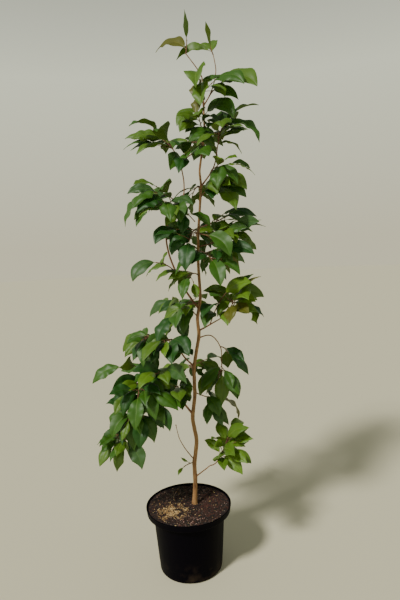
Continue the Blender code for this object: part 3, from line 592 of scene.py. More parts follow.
# Materials for foliage, as (name, upper side, underside, midrib)
GREENS = (
    ("deep", (0.011, 0.062, 0.004), (0.036, 0.088, 0.012), (0.036, 0.096, 0.010)),
    ("mid", (0.034, 0.104, 0.006), (0.070, 0.130, 0.018), (0.078, 0.160, 0.016)),
    ("fresh", (0.068, 0.144, 0.009), (0.104, 0.168, 0.024), (0.132, 0.210, 0.024)),
    ("lime", (0.088, 0.180, 0.008), (0.116, 0.195, 0.024), (0.155, 0.250, 0.026)),
    # This row's bluish greens are a painted reflection of the pale sky on glossy leaves, laid into the colour and not
    # left to the gloss
    ("sky", (0.034, 0.092, 0.018), (0.066, 0.120, 0.030), (0.068, 0.140, 0.026)),
    ("bronze", (0.090, 0.096, 0.008), (0.118, 0.124, 0.022), (0.145, 0.140, 0.022)),
)
DEEP, MID, FRESH, LIME, PAINTED_SKY_SHEEN, BRONZE = range(len(GREENS))

# Where a mass isn't the common mixture, the greens that are dealt to its leaves
# The deep greens dealt to masses in the middle, inside and at the back are painted shade; the fresh and lime greens
# dealt to the top masses and to bright_front are partly their young leaves' own lighter green and partly painted
# sunlight
TINTS = {
    "top_left": (FRESH, BRONZE, FRESH),
    "top_right": (FRESH, MID, FRESH),
    "top_long_leaf": (FRESH,),
    "fork_front": (FRESH, MID, FRESH, MID, BRONZE),
    "upper_left_leaf": (MID, FRESH, MID),
    "upper_front": (PAINTED_SKY_SHEEN, MID, FRESH),
    "upper_right_tip": (FRESH, MID, MID, FRESH, BRONZE),
    "upper_right_low": (FRESH, MID, LIME, MID),
    "upper_left_tip": (FRESH, MID, FRESH),
    "left_cluster_outer": (MID, FRESH, PAINTED_SKY_SHEEN, FRESH, MID),
    "bright_front": (LIME, FRESH, MID),
    "left_pair": (PAINTED_SKY_SHEEN, LIME, FRESH),
    "middle_right_tip": (FRESH, MID, LIME, BRONZE),
    "lower_right_tip": (FRESH, LIME, FRESH),
    "lower_right_twig": (MID, PAINTED_SKY_SHEEN, BRONZE, MID),
    "foot_shoot": (LIME, FRESH),
    "middle_front_left": (DEEP, MID, DEEP),
    "middle_front_right": (DEEP, MID, DEEP, BRONZE),
    "lower_left_back": (DEEP, DEEP, MID),
    "lower_left_inner": (DEEP, DEEP, MID),
}
COMMON_TINTS = (MID, MID, FRESH, MID, DEEP, PAINTED_SKY_SHEEN, MID, FRESH, MID, DEEP, MID, FRESH, MID, DEEP, LIME)


class Heap:
    """Points and faces gathered for one piece, each face with the number of its material."""

    def __init__(self):
        self.points = []
        self.faces = []
        self.numbers = []

    def add(self, points, faces, numbers):
        start = len(self.points)
        self.points += points
        self.faces += [tuple(start + i for i in face) for face in faces]
        self.numbers += numbers if isinstance(numbers, list) else [numbers] * len(faces)


def piece_from(heap, name, materials, nodes):
    """One shown piece, which rides on the body and stands for the named solids."""
    mesh = bpy.data.meshes.new(name)
    mesh.from_pydata(heap.points, [], heap.faces)
    for material in materials:
        mesh.materials.append(material)
    mesh.polygons.foreach_set("material_index", heap.numbers)
    mesh.polygons.foreach_set("use_smooth", [True] * len(heap.faces))
    mesh.update()
    piece = bpy.data.objects.new(name, mesh)
    bpy.context.scene.collection.objects.link(piece)
    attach(piece, "root")
    if nodes:
        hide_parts(*nodes)
    return piece


def new_material(name, colour, roughness):
    material = bpy.data.materials.new(name)
    material.use_nodes = True
    shader = material.node_tree.nodes["Principled BSDF"]
    shader.inputs["Base Color"].default_value = (*colour, 1.0)
    shader.inputs["Roughness"].default_value = roughness
    return material, shader


def add_noise(tree, scale, detail, stretch=(1.0, 1.0, 1.0)):
    """A noise texture in the piece's own coordinates, stretched along the axes."""
    place = tree.nodes.new("ShaderNodeTexCoord")
    mapping = tree.nodes.new("ShaderNodeMapping")
    mapping.inputs["Scale"].default_value = stretch
    texture = tree.nodes.new("ShaderNodeTexNoise")
    texture.inputs["Scale"].default_value = scale
    texture.inputs["Detail"].default_value = detail
    tree.links.new(place.outputs["Object"], mapping.inputs["Vector"])
    tree.links.new(mapping.outputs["Vector"], texture.inputs["Vector"])
    return texture.outputs["Fac"]


def add_ramp(tree, factor, stops):
    ramp = tree.nodes.new("ShaderNodeValToRGB")
    while len(ramp.color_ramp.elements) < len(stops):
        ramp.color_ramp.elements.new(1.0)
    for element, (position, colour) in zip(ramp.color_ramp.elements, stops):
        element.position = position
        element.color = (*colour, 1.0)
    tree.links.new(factor, ramp.inputs["Fac"])
    return ramp.outputs["Color"]


def add_bump(tree, shader, height, strength, distance):
    bump = tree.nodes.new("ShaderNodeBump")
    bump.inputs["Strength"].default_value = strength
    bump.inputs["Distance"].default_value = distance
    tree.links.new(height, bump.inputs["Height"])
    tree.links.new(bump.outputs["Normal"], shader.inputs["Normal"])


def add_roughness(tree, shader, factor, low, high):
    spread = tree.nodes.new("ShaderNodeMapRange")
    spread.inputs["To Min"].default_value = low
    spread.inputs["To Max"].default_value = high
    tree.links.new(factor, spread.inputs["Value"])
    tree.links.new(spread.outputs["Result"], shader.inputs["Roughness"])


def leaf_material(name, colour, roughness, gloss):
    """A leaf's skin: one plain colour with a fine leathery grain and a soft sheen."""
    material, shader = new_material(name, colour, roughness)
    shader.inputs["Specular IOR Level"].default_value = gloss
    add_bump(material.node_tree, shader, add_noise(material.node_tree, 900.0, 2.0), 0.25, 0.0004)
    return material


def bark_material(name, dark, middle, light):
    """Young bark: warm streaks along the limb, from dark to pale, and a fine grain."""
    material, shader = new_material(name, middle, 0.6)
    tree = material.node_tree
    streaks = add_noise(tree, 430.0, 6.0, (1.0, 1.0, 0.09))
    colour = add_ramp(tree, streaks, ((0.34, dark), (0.47, middle), (0.56, middle), (0.68, light)))
    tree.links.new(colour, shader.inputs["Base Color"])
    add_roughness(tree, shader, streaks, 0.50, 0.80)
    add_bump(tree, shader, streaks, 0.6, 0.0006)
    return material


def pot_material():
    """Black moulded plastic with a satin skin, a little dust near the foot and faint upright scuffs."""
    material, shader = new_material("black_pot_plastic", (0.0014, 0.0010, 0.0028), 0.50)
    tree = material.node_tree
    scuffs = add_noise(tree, 90.0, 4.0, (1.0, 1.0, 0.10))
    place = tree.nodes.new("ShaderNodeTexCoord")
    split = tree.nodes.new("ShaderNodeSeparateXYZ")
    tree.links.new(place.outputs["Object"], split.inputs["Vector"])
    low = tree.nodes.new("ShaderNodeMapRange")
    low.inputs["From Min"].default_value = 0.0
    low.inputs["From Max"].default_value = 0.060
    low.inputs["To Min"].default_value = 1.0
    low.inputs["To Max"].default_value = 0.0
    tree.links.new(split.outputs["Z"], low.inputs["Value"])
    patches = add_ramp(tree, add_noise(tree, 38.0, 5.0), ((0.48, (0.0, 0.0, 0.0)), (0.75, (1.0, 1.0, 1.0))))
    dust = tree.nodes.new("ShaderNodeMath")
    dust.operation = "MULTIPLY"
    tree.links.new(low.outputs["Result"], dust.inputs[0])
    tree.links.new(patches, dust.inputs[1])
    thin = tree.nodes.new("ShaderNodeMath")
    thin.operation = "MULTIPLY"
    thin.inputs[1].default_value = 0.30
    tree.links.new(dust.outputs["Value"], thin.inputs[0])
    mix = tree.nodes.new("ShaderNodeMix")
    mix.data_type = "RGBA"
    shader.inputs["Specular IOR Level"].default_value = 0.035
    mix.inputs["A"].default_value = (0.0014, 0.0010, 0.0028, 1.0)
    mix.inputs["B"].default_value = (0.110, 0.075, 0.045, 1.0)
    tree.links.new(thin.outputs["Value"], mix.inputs["Factor"])
    tree.links.new(mix.outputs["Result"], shader.inputs["Base Color"])
    add_roughness(tree, shader, scuffs, 0.42, 0.62)
    add_bump(tree, shader, add_noise(tree, 700.0, 2.0), 0.12, 0.0003)
    return material


def soil_material():
    material, shader = new_material("potting_soil", (0.060, 0.032, 0.018), 0.95)
    tree = material.node_tree
    crumbs = add_noise(tree, 320.0, 6.0)
    colour = add_ramp(tree, crumbs, ((0.32, (0.004, 0.002, 0.002)), (0.50, (0.017, 0.007, 0.005)),
                                     (0.64, (0.038, 0.015, 0.009)), (0.78, (0.080, 0.040, 0.024))))
    tree.links.new(colour, shader.inputs["Base Color"])
    add_bump(tree, shader, crumbs, 0.9, 0.0015)
    return material


def fine_path(limb, steps):
    """A limb with a few smooth steps between its points, as places and radii."""
    points = smooth_path(limb.points, steps)
    radii = []
    for start, end in zip(limb.radii, limb.radii[1:]):
        radii += [start + (end - start) * k / steps for k in range(steps)]
    return points, [*radii, limb.radii[-1]]


def add_tube(heap, points, radii, sides, number, relief=None, first_across=None):
    """A closed round tube along the points, with a domed end. A relief may add to each point's radius."""
    across = first_across or sideways_from(points[1] - points[0])
    count = len(points)
    travelled = 0.0
    ring_points, faces = [], []
    for i, (place, radius) in enumerate(zip(points, radii)):
        heading = (points[min(i + 1, count - 1)] - points[max(i - 1, 0)]).normalized()
        across = (across - heading * across.dot(heading)).normalized()
        other = heading.cross(across)
        if i:
            travelled += (place - points[i - 1]).length
        for k in range(sides):
            angle = math.tau * k / sides
            out = across * math.cos(angle) + other * math.sin(angle)
            extra = relief(place, out, radius, travelled) if relief else 0.0
            ring_points.append(place + out * (radius + extra))
    for i in range(count - 1):
        a, b = i * sides, (i + 1) * sides
        faces += [(a + k, a + (k + 1) % sides, b + (k + 1) % sides, b + k) for k in range(sides)]
    end = (count - 1) * sides
    heading = (points[-1] - points[-2]).normalized()
    ring_points.append(points[-1] + heading * radii[-1] * 0.7)
    ring_points.append(points[0] - (points[1] - points[0]).normalized() * radii[0] * 0.1)
    tip, root = len(ring_points) - 2, len(ring_points) - 1
    faces += [(end + k, end + (k + 1) % sides, tip) for k in range(sides)]
    faces += [((k + 1) % sides, k, root) for k in range(sides)]
    heap.add(ring_points, faces, number)


def bark_relief(seed, grain, joints):
    """How a bark surface stands off its round limb: grain along it, rings at old nodes, swellings at joints."""
    shift = Vector((seed * 7.3, seed * 3.1, seed * 5.7))

    def relief(place, out, radius, travelled):
        at = place + out * radius
        streak = noise.noise(Vector((at.x * 420, at.y * 420, at.z * 55)) + shift)
        lump = noise.noise(at * 90 + shift)
        ring = math.exp(-((travelled % NODE_SPACING - NODE_SPACING / 2) / 0.0016) ** 2)
        swelling = sum(strength * math.exp(-((place - centre).length / 0.009) ** 2)
                       * max(0.0, out.dot(towards)) for centre, towards, strength in joints)
        return radius * (grain * streak + 0.05 * lump + 0.05 * ring) + swelling

    return relief


def outline(t, drawn_out):
    """A blade's half width along it: elliptic, a wedge at the stalk, with a more or less drawn-out tip."""
    wave = max(0.0, math.sin(math.pi * t ** 0.94))
    return wave ** 0.86 * (1.0 - drawn_out * max(0.0, (t - 0.60) / 0.40) ** 1.2)


def blade_heights(leaf, luck):
    """How high a blade stands off its plane: folded, curled, wavy at the rim and quilted between its veins."""
    fold = math.tan(math.radians(LEAF_FOLD + luck.uniform(-4, 20)))
    curl = luck.uniform(0.15, 0.70)
    waves = luck.uniform(1.6, 3.2)
    wave_height = luck.uniform(0.05, 0.16)
    phase = luck.uniform(0.0, math.tau)

    def height(t, across, half):
        reach = abs(across) / half
        rise = half * (fold * reach - curl * reach * reach)
        rise += half * wave_height * reach * math.sin(math.tau * waves * t + phase + (across > 0) * 1.3)
        quilt = math.sin(math.tau * (VEIN_PAIRS * t - VEIN_SLANT * reach)) * min(1.0, 4 * reach) * (1 - reach)
        return rise + VEIN_HEIGHT * quilt

    return height


def add_blade(heap, leaf, green, luck):
    """A leaf's blade with two skins, a narrow pale midrib, slanting veins, fine teeth and its own curl."""
    large = leaf.length > SMALL_BLADE_LENGTH
    stations = BLADE_STATIONS if large else SMALL_BLADE_STATIONS
    spread = BLADE_COLUMNS if large else SMALL_BLADE_COLUMNS
    height = blade_heights(leaf, luck)
    sway = luck.uniform(-0.06, 0.06)
    twist = luck.uniform(-BLADE_TWIST, BLADE_TWIST)
    drawn_out = luck.uniform(*TIP_NARROWING)
    columns = 2 * len(spread) + 2
    rib_column = len(spread)
    points, faces, numbers = [], [], []
    for i in range(stations + 1):
        t = i / stations
        place, level, up = blade_at(leaf, t)
        place = place + level * leaf.length * sway * t * t
        side = level * math.cos(twist * t) + up * math.sin(twist * t)
        normal = up * math.cos(twist * t) - level * math.sin(twist * t)
        half = max(0.0006, leaf.width / 2 * BLADE_FULLNESS * outline(t, drawn_out))
        rib = min(0.30 * half, RIB_HALF_WIDTH * (1.15 - t))
        edge = half * (1.0 + (TOOTH_SHARE if i % 2 else -TOOTH_SHARE))
        steps = [*(half * share for share in spread[:-1]), edge]
        rows = [*(-step for step in reversed(steps)), -rib, rib, *steps]
        for skin in (1, -1):
            for column, across in enumerate(rows):
                in_rib = rib_column <= column <= rib_column + 1
                thickness = BLADE_THICKNESS / 2 * (1.8 if in_rib and skin < 0 else -0.3 if in_rib else 1.0)
                points.append(place + side * across + normal * (height(t, across, half) + skin * thickness))
    for i in range(stations):
        here, after = i * 2 * columns, (i + 1) * 2 * columns
        low, low_after = here + columns, after + columns
        for k in range(columns - 1):
            rib = k == rib_column
            faces.append((here + k, here + k + 1, after + k + 1, after + k))
            faces.append((low + k, low_after + k, low_after + k + 1, low + k + 1))
            numbers += [3 * green + (2 if rib else 0), 3 * green + (2 if rib else 1)]
        last = columns - 1
        faces.append((here, after, low_after, low))
        faces.append((here + last, low + last, low_after + last, after + last))
        numbers += [3 * green + 1] * 2
    end = stations * 2 * columns
    for k in range(columns - 1):
        faces.append((k, k + columns, k + columns + 1, k + 1))
        faces.append((end + k, end + k + 1, end + columns + k + 1, end + columns + k))
        numbers += [3 * green + 1] * 2
    heap.add(points, faces, numbers)


def add_petiole(heap, leaf, number):
    base = blade_at(leaf, 0.0)[0]
    deep = blade_at(leaf, 0.04)[0]
    points = [leaf.root, leaf.root.lerp(base, 0.5), base, deep]
    radii = [PETIOLE_RADIUS * 1.25, PETIOLE_RADIUS, PETIOLE_RADIUS * 0.9, PETIOLE_RADIUS * 0.5]
    add_tube(heap, points, radii, PETIOLE_SIDES, number)


def add_bud(heap, root, aim, size, number):
    """A pointed bud of a few scales in a leaf's axil."""
    profile = ((0.0, 0.55), (0.25, 0.95), (0.5, 1.0), (0.75, 0.62), (0.94, 0.18))
    points = [root + aim * BUD_LENGTH * size * along for along, _ in profile]
    radii = [BUD_RADIUS * size * share for _, share in profile]
    add_tube(heap, points, radii, PETIOLE_SIDES, number)


def inside(points, box):
    low, high = box
    return all(low[k] - SPACE_MARGIN < point[k] < high[k] + SPACE_MARGIN for point in points for k in range(3))


def small_leaves(row, twiglet, carrier, box, obstacles, luck):
    """The leaves of one twiglet, from its tip down. Without room for the one at its tip, it gets none."""
    leaves = []
    for k in reversed(range(TWIGLET_LEAVES)):
        last = k == TWIGLET_LEAVES - 1
        leaf = leaf_on(row, twiglet, 0.97 if last else 0.40 + 0.28 * k, k, last, luck)
        length = row.leaf_length * luck.uniform(*SMALL_LEAF_SHARE)
        leaf = leaf._replace(length=length, width=length * LEAF_WIDTH_SHARE, bend=leaf.bend * SMALL_LEAF_HANG)
        solid = leaf_solid(leaf, TEST_MARGIN)
        tree = test_tree(solid)
        clear = not any(owner is not carrier and tree.overlap(other) for owner, other in obstacles)
        if clear and inside(solid[0], box) and not any(tree.overlap(other) for _, other in leaves):
            leaves.append((leaf, tree))
        elif last:
            break
    return leaves


def grow_twiglets(spray, row, obstacles):
    """Short side twigs with smaller leaves between the large ones, within the mass's own space."""
    if row.leaves < FEWEST_LEAVES_FOR_TWIGLETS:
        return []
    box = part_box(f"foliage_{spray.name}")
    limbs = [spray.stem, *spray.twigs]
    grown = []
    for i in range(round(row.leaves * TWIGLETS_PER_LEAF)):
        for attempt in range(TWIGLET_TRIES):
            luck = chance(spray.name, "twiglet", i, attempt)
            carrier = limbs[luck.randrange(len(limbs))]
            place, heading, radius = limb_at(carrier, luck.uniform(0.22, 0.96))
            turn = luck.uniform(0.0, math.tau)
            side = sideways_from(heading)
            outward = side * math.cos(turn) + heading.cross(side) * math.sin(turn)
            aim = (heading * 0.7 + outward + UP * 0.25).normalized()
            tip = place + aim * row.leaf_length * luck.uniform(*TWIGLET_LENGTH)
            twiglet = Limb([place, place.lerp(tip, 0.5) + UP * 0.001, tip],
                           [TWIGLET_RADIUS * 1.3, TWIGLET_RADIUS, TWIGLET_RADIUS * 0.8])
            leaves = small_leaves(row, twiglet, carrier, box, obstacles, luck)
            if leaves:
                obstacles += leaves
                grown.append((twiglet, [leaf for leaf, _ in leaves]))
                break
    return grown


def make_foliage(limbs, sprays, obstacles):
    """Leaves in three pieces from top to bottom, and one piece of stems, twigs, stalks and buds."""
    materials = []
    for name, upper, under, rib in GREENS:
        materials.append(leaf_material(f"leaf_{name}_upper", upper, 0.48, 0.38))
        materials.append(leaf_material(f"leaf_{name}_under", under, 0.68, 0.20))
        materials.append(leaf_material(f"leaf_{name}_rib", rib, 0.55, 0.25))
    twig_bark = bark_material("twig_bark", (0.085, 0.032, 0.018), (0.150, 0.062, 0.032), (0.240, 0.120, 0.060))
    stalk_skin = leaf_material("leaf_stalk", (0.150, 0.125, 0.035), 0.5, 0.3)
    bud_scale = leaf_material("bud_scale", (0.180, 0.105, 0.045), 0.5, 0.3)
    zones = {"upper": (0.90, Heap(), []), "middle": (0.56, Heap(), []), "lower": (-1.0, Heap(), [])}
    twigs = Heap()
    rows = {row.name: row for row in SPRAYS}
    for spray in sprays:
        row = rows[spray.name]
        _, heap, nodes = next(zone for zone in zones.values() if row.tip[2] > zone[0])
        nodes.append(f"foliage_{spray.name}")
        parent = limbs[row.parent]
        root = limb_at(parent, row.at)[0]
        # A mass's own greens paint shade on inner and back masses and sunlight on top ones; the common mixture
        # spreads tones at random, painted sky sheen among them
        tints = TINTS.get(spray.name, COMMON_TINTS)
        deal = chance(spray.name, "tints")
        twiglets = grow_twiglets(spray, row, obstacles)
        root_radius = spray.stem.radii[0] * 1.25
        if row.at >= NEAR_TIP:
            root_radius = min(root_radius, parent.radii[-1])
        stem = Limb([root, *spray.stem.points], [root_radius, *spray.stem.radii])
        for limb in (stem, *spray.twigs):
            add_tube(twigs, *fine_path(limb, TWIG_RING_STEPS), TWIG_ROUND_SIDES, 0)
        for twiglet, _ in twiglets:
            add_tube(twigs, *fine_path(twiglet, 2), PETIOLE_SIDES, 0)
        for limb in (spray.stem, *spray.twigs, *(twiglet for twiglet, _ in twiglets)):
            tip, before = limb.points[-1], limb.points[-2]
            add_bud(twigs, tip, (tip - before).normalized(), TIP_BUD_SIZE, 2)
        leaves = [*spray.leaves, *(leaf for _, small in twiglets for leaf in small)]
        for i, leaf in enumerate(leaves):
            luck = chance(spray.name, "blade", i)
            add_blade(heap, leaf, deal.choice(tints), luck)
            add_petiole(twigs, leaf, 1)
            bud_aim = (leaf.aim + UP * 0.8).normalized()
            add_bud(twigs, leaf.root + leaf.aim * 0.0012, bud_aim, luck.uniform(0.5, 1.0), 2)
    for name, (_, heap, nodes) in zones.items():
        leaves = piece_from(heap, f"leaves_{name}", materials, nodes)
        leaves.data.set_sharp_from_angle(angle=RIM_ANGLE)
    piece_from(twigs, "twigs", [twig_bark, stalk_skin, bud_scale], [])


def joints_on(name, limbs):
    """Where the limbs that spring from this one swell its bark."""
    limb = limbs[name]
    joints = []
    for row in (*BOUGHS, *SPRAYS):
        if row.parent == name and row.at < 1.0:
            place = limb_at(limb, row.at)[0]
            towards = (limbs[row.name].points[1] - place) if row.name in limbs else (Vector(row.tip) - place)
            joints.append((place, towards.normalized(), 0.0009 if row.name in limbs else 0.0006))
    return joints


def make_limbs(limbs):
    trunk_bark = bark_material("trunk_bark", (0.140, 0.060, 0.022), (0.300, 0.158, 0.058), (0.480, 0.300, 0.125))
    bough_bark = bark_material("bough_bark", (0.110, 0.042, 0.022), (0.200, 0.090, 0.042), (0.330, 0.190, 0.095))
    trunk = Heap()
    points, radii = fine_path(limbs["trunk"], TRUNK_RING_STEPS)
    sunk = TRUNK_FOOT - UP * 0.006
    add_tube(trunk, [sunk, *points], [radii[0] * 1.06, *radii], TRUNK_SIDES, 0,
             bark_relief(1, 0.05, joints_on("trunk", limbs)))
    piece_from(trunk, "trunk_with_bark", [trunk_bark], ["trunk"])
    boughs = Heap()
    for i, row in enumerate(BOUGHS):
        limb = limbs[row.name]
        root = limb_at(limbs[row.parent], row.at)[0]
        points, radii = fine_path(Limb([root, *limb.points], [limb.radii[0], *limb.radii]), BOUGH_RING_STEPS)
        swelling = [1.0 + ROOT_SWELLING * math.exp(-(point - root).length / 0.007) for point in points]
        radii = [radius * extra for radius, extra in zip(radii, swelling)]
        add_tube(boughs, points, radii, BOUGH_SIDES, 0, bark_relief(2 + i, 0.06, joints_on(row.name, limbs)))
        if not any(spray.parent == row.name and spray.at >= NEAR_TIP for spray in SPRAYS):
            add_bud(boughs, points[-1], (points[-1] - points[-2]).normalized(), TIP_BUD_SIZE, 0)
    piece_from(boughs, "boughs_with_bark", [bough_bark], [row.name for row in BOUGHS])


def turned_points(profile, segments):
    """The points and faces of a turned body whose profile starts and ends on the axis or closes on itself."""
    closed = profile[0][0] > 0.0
    points, faces, rings = [], [], []
    for radius, height in profile:
        if radius == 0.0:
            rings.append([len(points)])
            points.append(Vector((0.0, 0.0, height)))
            continue
        rings.append(list(range(len(points), len(points) + segments)))
        for k in range(segments):
            angle = math.tau * k / segments
            points.append(Vector((radius * math.cos(angle), radius * math.sin(angle), height)))
    pairs = list(zip(rings, rings[1:])) + ([(rings[-1], rings[0])] if closed else [])
    for upper, lower in pairs:
        for k in range(segments):
            a, b = k, (k + 1) % segments
            if len(upper) == 1 and len(lower) == 1:
                continue
            if len(upper) == 1:
                faces.append((upper[0], lower[a], lower[b]))
            elif len(lower) == 1:
                faces.append((upper[b], upper[a], lower[0]))
            else:
                faces.append((upper[b], upper[a], lower[a], lower[b]))
    return points, faces


def rounded(corners, steps=4):
    """A profile whose inner corners are rounded. Each corner is (radius, height, rounding)."""
    profile = []
    for i, (radius, height, rounding) in enumerate(corners):
        here = Vector((radius, height))
        if rounding == 0.0:
            profile.append(tuple(here))
            continue
        before = Vector(corners[i - 1][:2])
        after = Vector(corners[(i + 1) % len(corners)][:2])
        start = here + (before - here).normalized() * min(rounding, (before - here).length * 0.45)
        end = here + (after - here).normalized() * min(rounding, (after - here).length * 0.45)
        for step in range(steps + 1):
            t = step / steps
            profile.append(tuple(start * (1 - t) ** 2 + here * 2 * t * (1 - t) + end * t * t))
    return profile


def wall_radius(height):
    """The pot's outer radius between its foot and its neck."""
    neck_height = POT_HEIGHT - LIP_HEIGHT - SHOULDER_DROP
    return FOOT_RADIUS + (NECK_RADIUS - FOOT_RADIUS) * height / neck_height


def make_pot():
    """The moulded pot: a rolled rim over a deep lip, a shoulder, a plain tapering wall and a drained foot."""
    lip_bottom = POT_HEIGHT - LIP_HEIGHT
    neck = lip_bottom - SHOULDER_DROP
    step = 0.0004
    corners = [
        (RIM_RADIUS - POT_WALL, POT_HEIGHT, 0.0012),
        (RIM_RADIUS, POT_HEIGHT, 0.0012),
        (RIM_RADIUS - 0.0002, POT_HEIGHT - 0.0035, 0.0006),
        (RIM_RADIUS - 0.0009, POT_HEIGHT - 0.0042, 0.0006),
        (LIP_RADIUS, lip_bottom, 0.0014),
        (NECK_RADIUS + 0.004, neck + 0.0010, 0.0020),
        (wall_radius(neck - 0.004), neck - 0.004, 0.0030),
        (wall_radius(0.030), 0.030, 0.0004),
        (wall_radius(0.030) - step, 0.029, 0.0004),
        (wall_radius(FOOT_ROUNDING) - step, FOOT_ROUNDING, 0.0030),
        (FOOT_RADIUS - FOOT_ROUNDING, 0.0, 0.0030),
        (0.0, 0.0, 0.0),
        (0.0, POT_WALL, 0.0),
        (FOOT_RADIUS - FOOT_ROUNDING, POT_WALL, 0.0020),
        (wall_radius(FOOT_ROUNDING * 2) - POT_WALL, FOOT_ROUNDING * 2, 0.0020),
        (NECK_RADIUS - POT_WALL, neck, 0.0020),
        (LIP_RADIUS - POT_WALL, lip_bottom, 0.0020),
    ]
    heap = Heap()
    points, faces = turned_points(rounded(corners), 128)
    heap.add(points, faces, 0)
    pot = piece_from(heap, "nursery_pot", [pot_material()], ["pot"])
    cutters = bpy.data.collections.new("drain_hole_cutters")
    bpy.context.scene.collection.children.link(cutters)
    for i in range(DRAIN_HOLES):
        angle = math.tau * i / DRAIN_HOLES
        ring = [(0.0, POT_WALL * 3), (DRAIN_RADIUS, POT_WALL * 3), (DRAIN_RADIUS, -POT_WALL), (0.0, -POT_WALL)]
        points, faces = turned_points(ring, 32)
        centre = Vector((DRAIN_RING_RADIUS * math.cos(angle), DRAIN_RING_RADIUS * math.sin(angle), 0.0))
        mesh = bpy.data.meshes.new(f"drain_hole_{i + 1}")
        mesh.from_pydata([point + centre for point in points], [], faces)
        cutters.objects.link(bpy.data.objects.new(mesh.name, mesh))
    drain = pot.modifiers.new("Drain holes", "BOOLEAN")
    drain.operation = "DIFFERENCE"
    drain.operand_type = "COLLECTION"
    drain.collection = cutters
    drain.solver = "EXACT"
    graph = bpy.context.evaluated_depsgraph_get()
    drained = bpy.data.meshes.new_from_object(pot.evaluated_get(graph))
    pot.modifiers.clear()
    pot.data = drained
    for cutter in list(cutters.objects):
        bpy.data.objects.remove(cutter, do_unlink=True)
    bpy.data.collections.remove(cutters)
    for polygon in drained.polygons:
        polygon.use_smooth = True
    return pot


SOIL_RISE = 0.0030


def soil_height(x, y):
    """The soil's bumpy surface, loose above the packed soil and a little higher round the trunk and at the wall."""
    at = Vector((x, y, 0.0))
    away = math.hypot(x - TRUNK_FOOT.x, y - TRUNK_FOOT.y)
    mound = 0.0022 * math.exp(-(away / 0.022) ** 2)
    rim = 0.0014 * max(0.0, (math.hypot(x, y) - 0.040) / 0.060)
    bumps = 0.0022 * noise.noise(at * 42) + 0.0014 * noise.noise(at * 120) + 0.0008 * noise.noise(at * 330)
    return SOIL_TOP + SOIL_RISE + mound + rim + bumps


def make_soil():
    """Bumpy soil down to the pot's floor, on which make_grains strews tan grit, bark crumbs and a few pale grains."""
    lip_bottom = POT_HEIGHT - LIP_HEIGHT
    neck = lip_bottom - SHOULDER_DROP
    inset = POT_WALL + CLEARANCE * 1.5
    top_radius = LIP_RADIUS + (RIM_RADIUS - LIP_RADIUS) * (SOIL_TOP - lip_bottom) / LIP_HEIGHT - inset
    segments, rings = 200, 72
    profile = [(0.0, SOIL_TOP)]
    profile += [(top_radius * (i + 1) / rings, SOIL_TOP) for i in range(rings)]
    top_count = 1 + rings * segments
    profile += [
        (LIP_RADIUS - inset - 0.0003, lip_bottom + 0.0002),
        (NECK_RADIUS - inset - 0.0003, neck + 0.0002),
        (wall_radius(FOOT_ROUNDING * 2) - inset, FOOT_ROUNDING * 2 + CLEARANCE),
        (FOOT_RADIUS - FOOT_ROUNDING - CLEARANCE, POT_WALL + CLEARANCE),
        (0.0, POT_WALL + CLEARANCE),
    ]
    heap = Heap()
    points, faces = turned_points(profile, segments)
    for point in points[:top_count]:
        point.z = soil_height(point.x, point.y)
    heap.add(points, faces, 0)
    piece_from(heap, "potting_soil", [soil_material()], ["soil"])


GrainRow = namedtuple("GrainRow", "name count colour sizes flatness share centre spread")

# Grains: how many, their colour, least and greatest size and flatness, and the share of them that lies
# about a place of its own, with how far it spreads there to the right and to the back
GRAINS = (
    GrainRow("tan", 480, (0.270, 0.160, 0.060), (0.0009, 0.0022), 0.8, 0.93, (-0.045, -0.028), (0.019, 0.021)),
    GrainRow("straw", 330, (0.560, 0.400, 0.180), (0.0008, 0.0019), 0.8, 0.93, (-0.040, -0.028), (0.018, 0.018)),
    GrainRow("brown", 1300, (0.050, 0.021, 0.011), (0.0008, 0.0024), 0.6, 0.0, (0.0, 0.0), (1.0, 1.0)),
    GrainRow("dark", 1500, (0.008, 0.005, 0.003), (0.0009, 0.0027), 0.5, 0.0, (0.0, 0.0), (1.0, 1.0)),
    GrainRow("rust", 850, (0.070, 0.017, 0.010), (0.0007, 0.0021), 0.6, 0.55, (0.052, 0.000), (0.026, 0.040)),
    GrainRow("grey", 420, (0.110, 0.085, 0.062), (0.0006, 0.0016), 0.7, 0.70, (-0.045, 0.060), (0.034, 0.022)),
    GrainRow("pale", 190, (0.330, 0.260, 0.210), (0.0005, 0.0012), 0.8, 0.35, (-0.035, 0.060), (0.034, 0.022)),
    GrainRow("pinkish", 170, (0.380, 0.230, 0.180), (0.0006, 0.0015), 0.8, 0.72, (0.012, -0.068), (0.028, 0.018)),
)
PATCH_GRAIN = 75.0


def grain_place(row, luck, reach):
    """A spot for one grain, either about its row's own place, in ragged patches, or anywhere."""
    while True:
        if luck.random() < row.share:
            spot = Vector((luck.gauss(row.centre[0], row.spread[0]), luck.gauss(row.centre[1], row.spread[1]), 0.0))
            if noise.noise(spot * PATCH_GRAIN) < luck.uniform(-0.28, 0.16):
                continue
        else:
            away = reach * math.sqrt(luck.random())
            turn = luck.uniform(0.0, math.tau)
            spot = Vector((away * math.cos(turn), away * math.sin(turn), 0.0))
        clear = math.hypot(spot.x - TRUNK_FOOT.x, spot.y - TRUNK_FOOT.y) > 0.011
        if spot.length < reach and clear:
            return spot


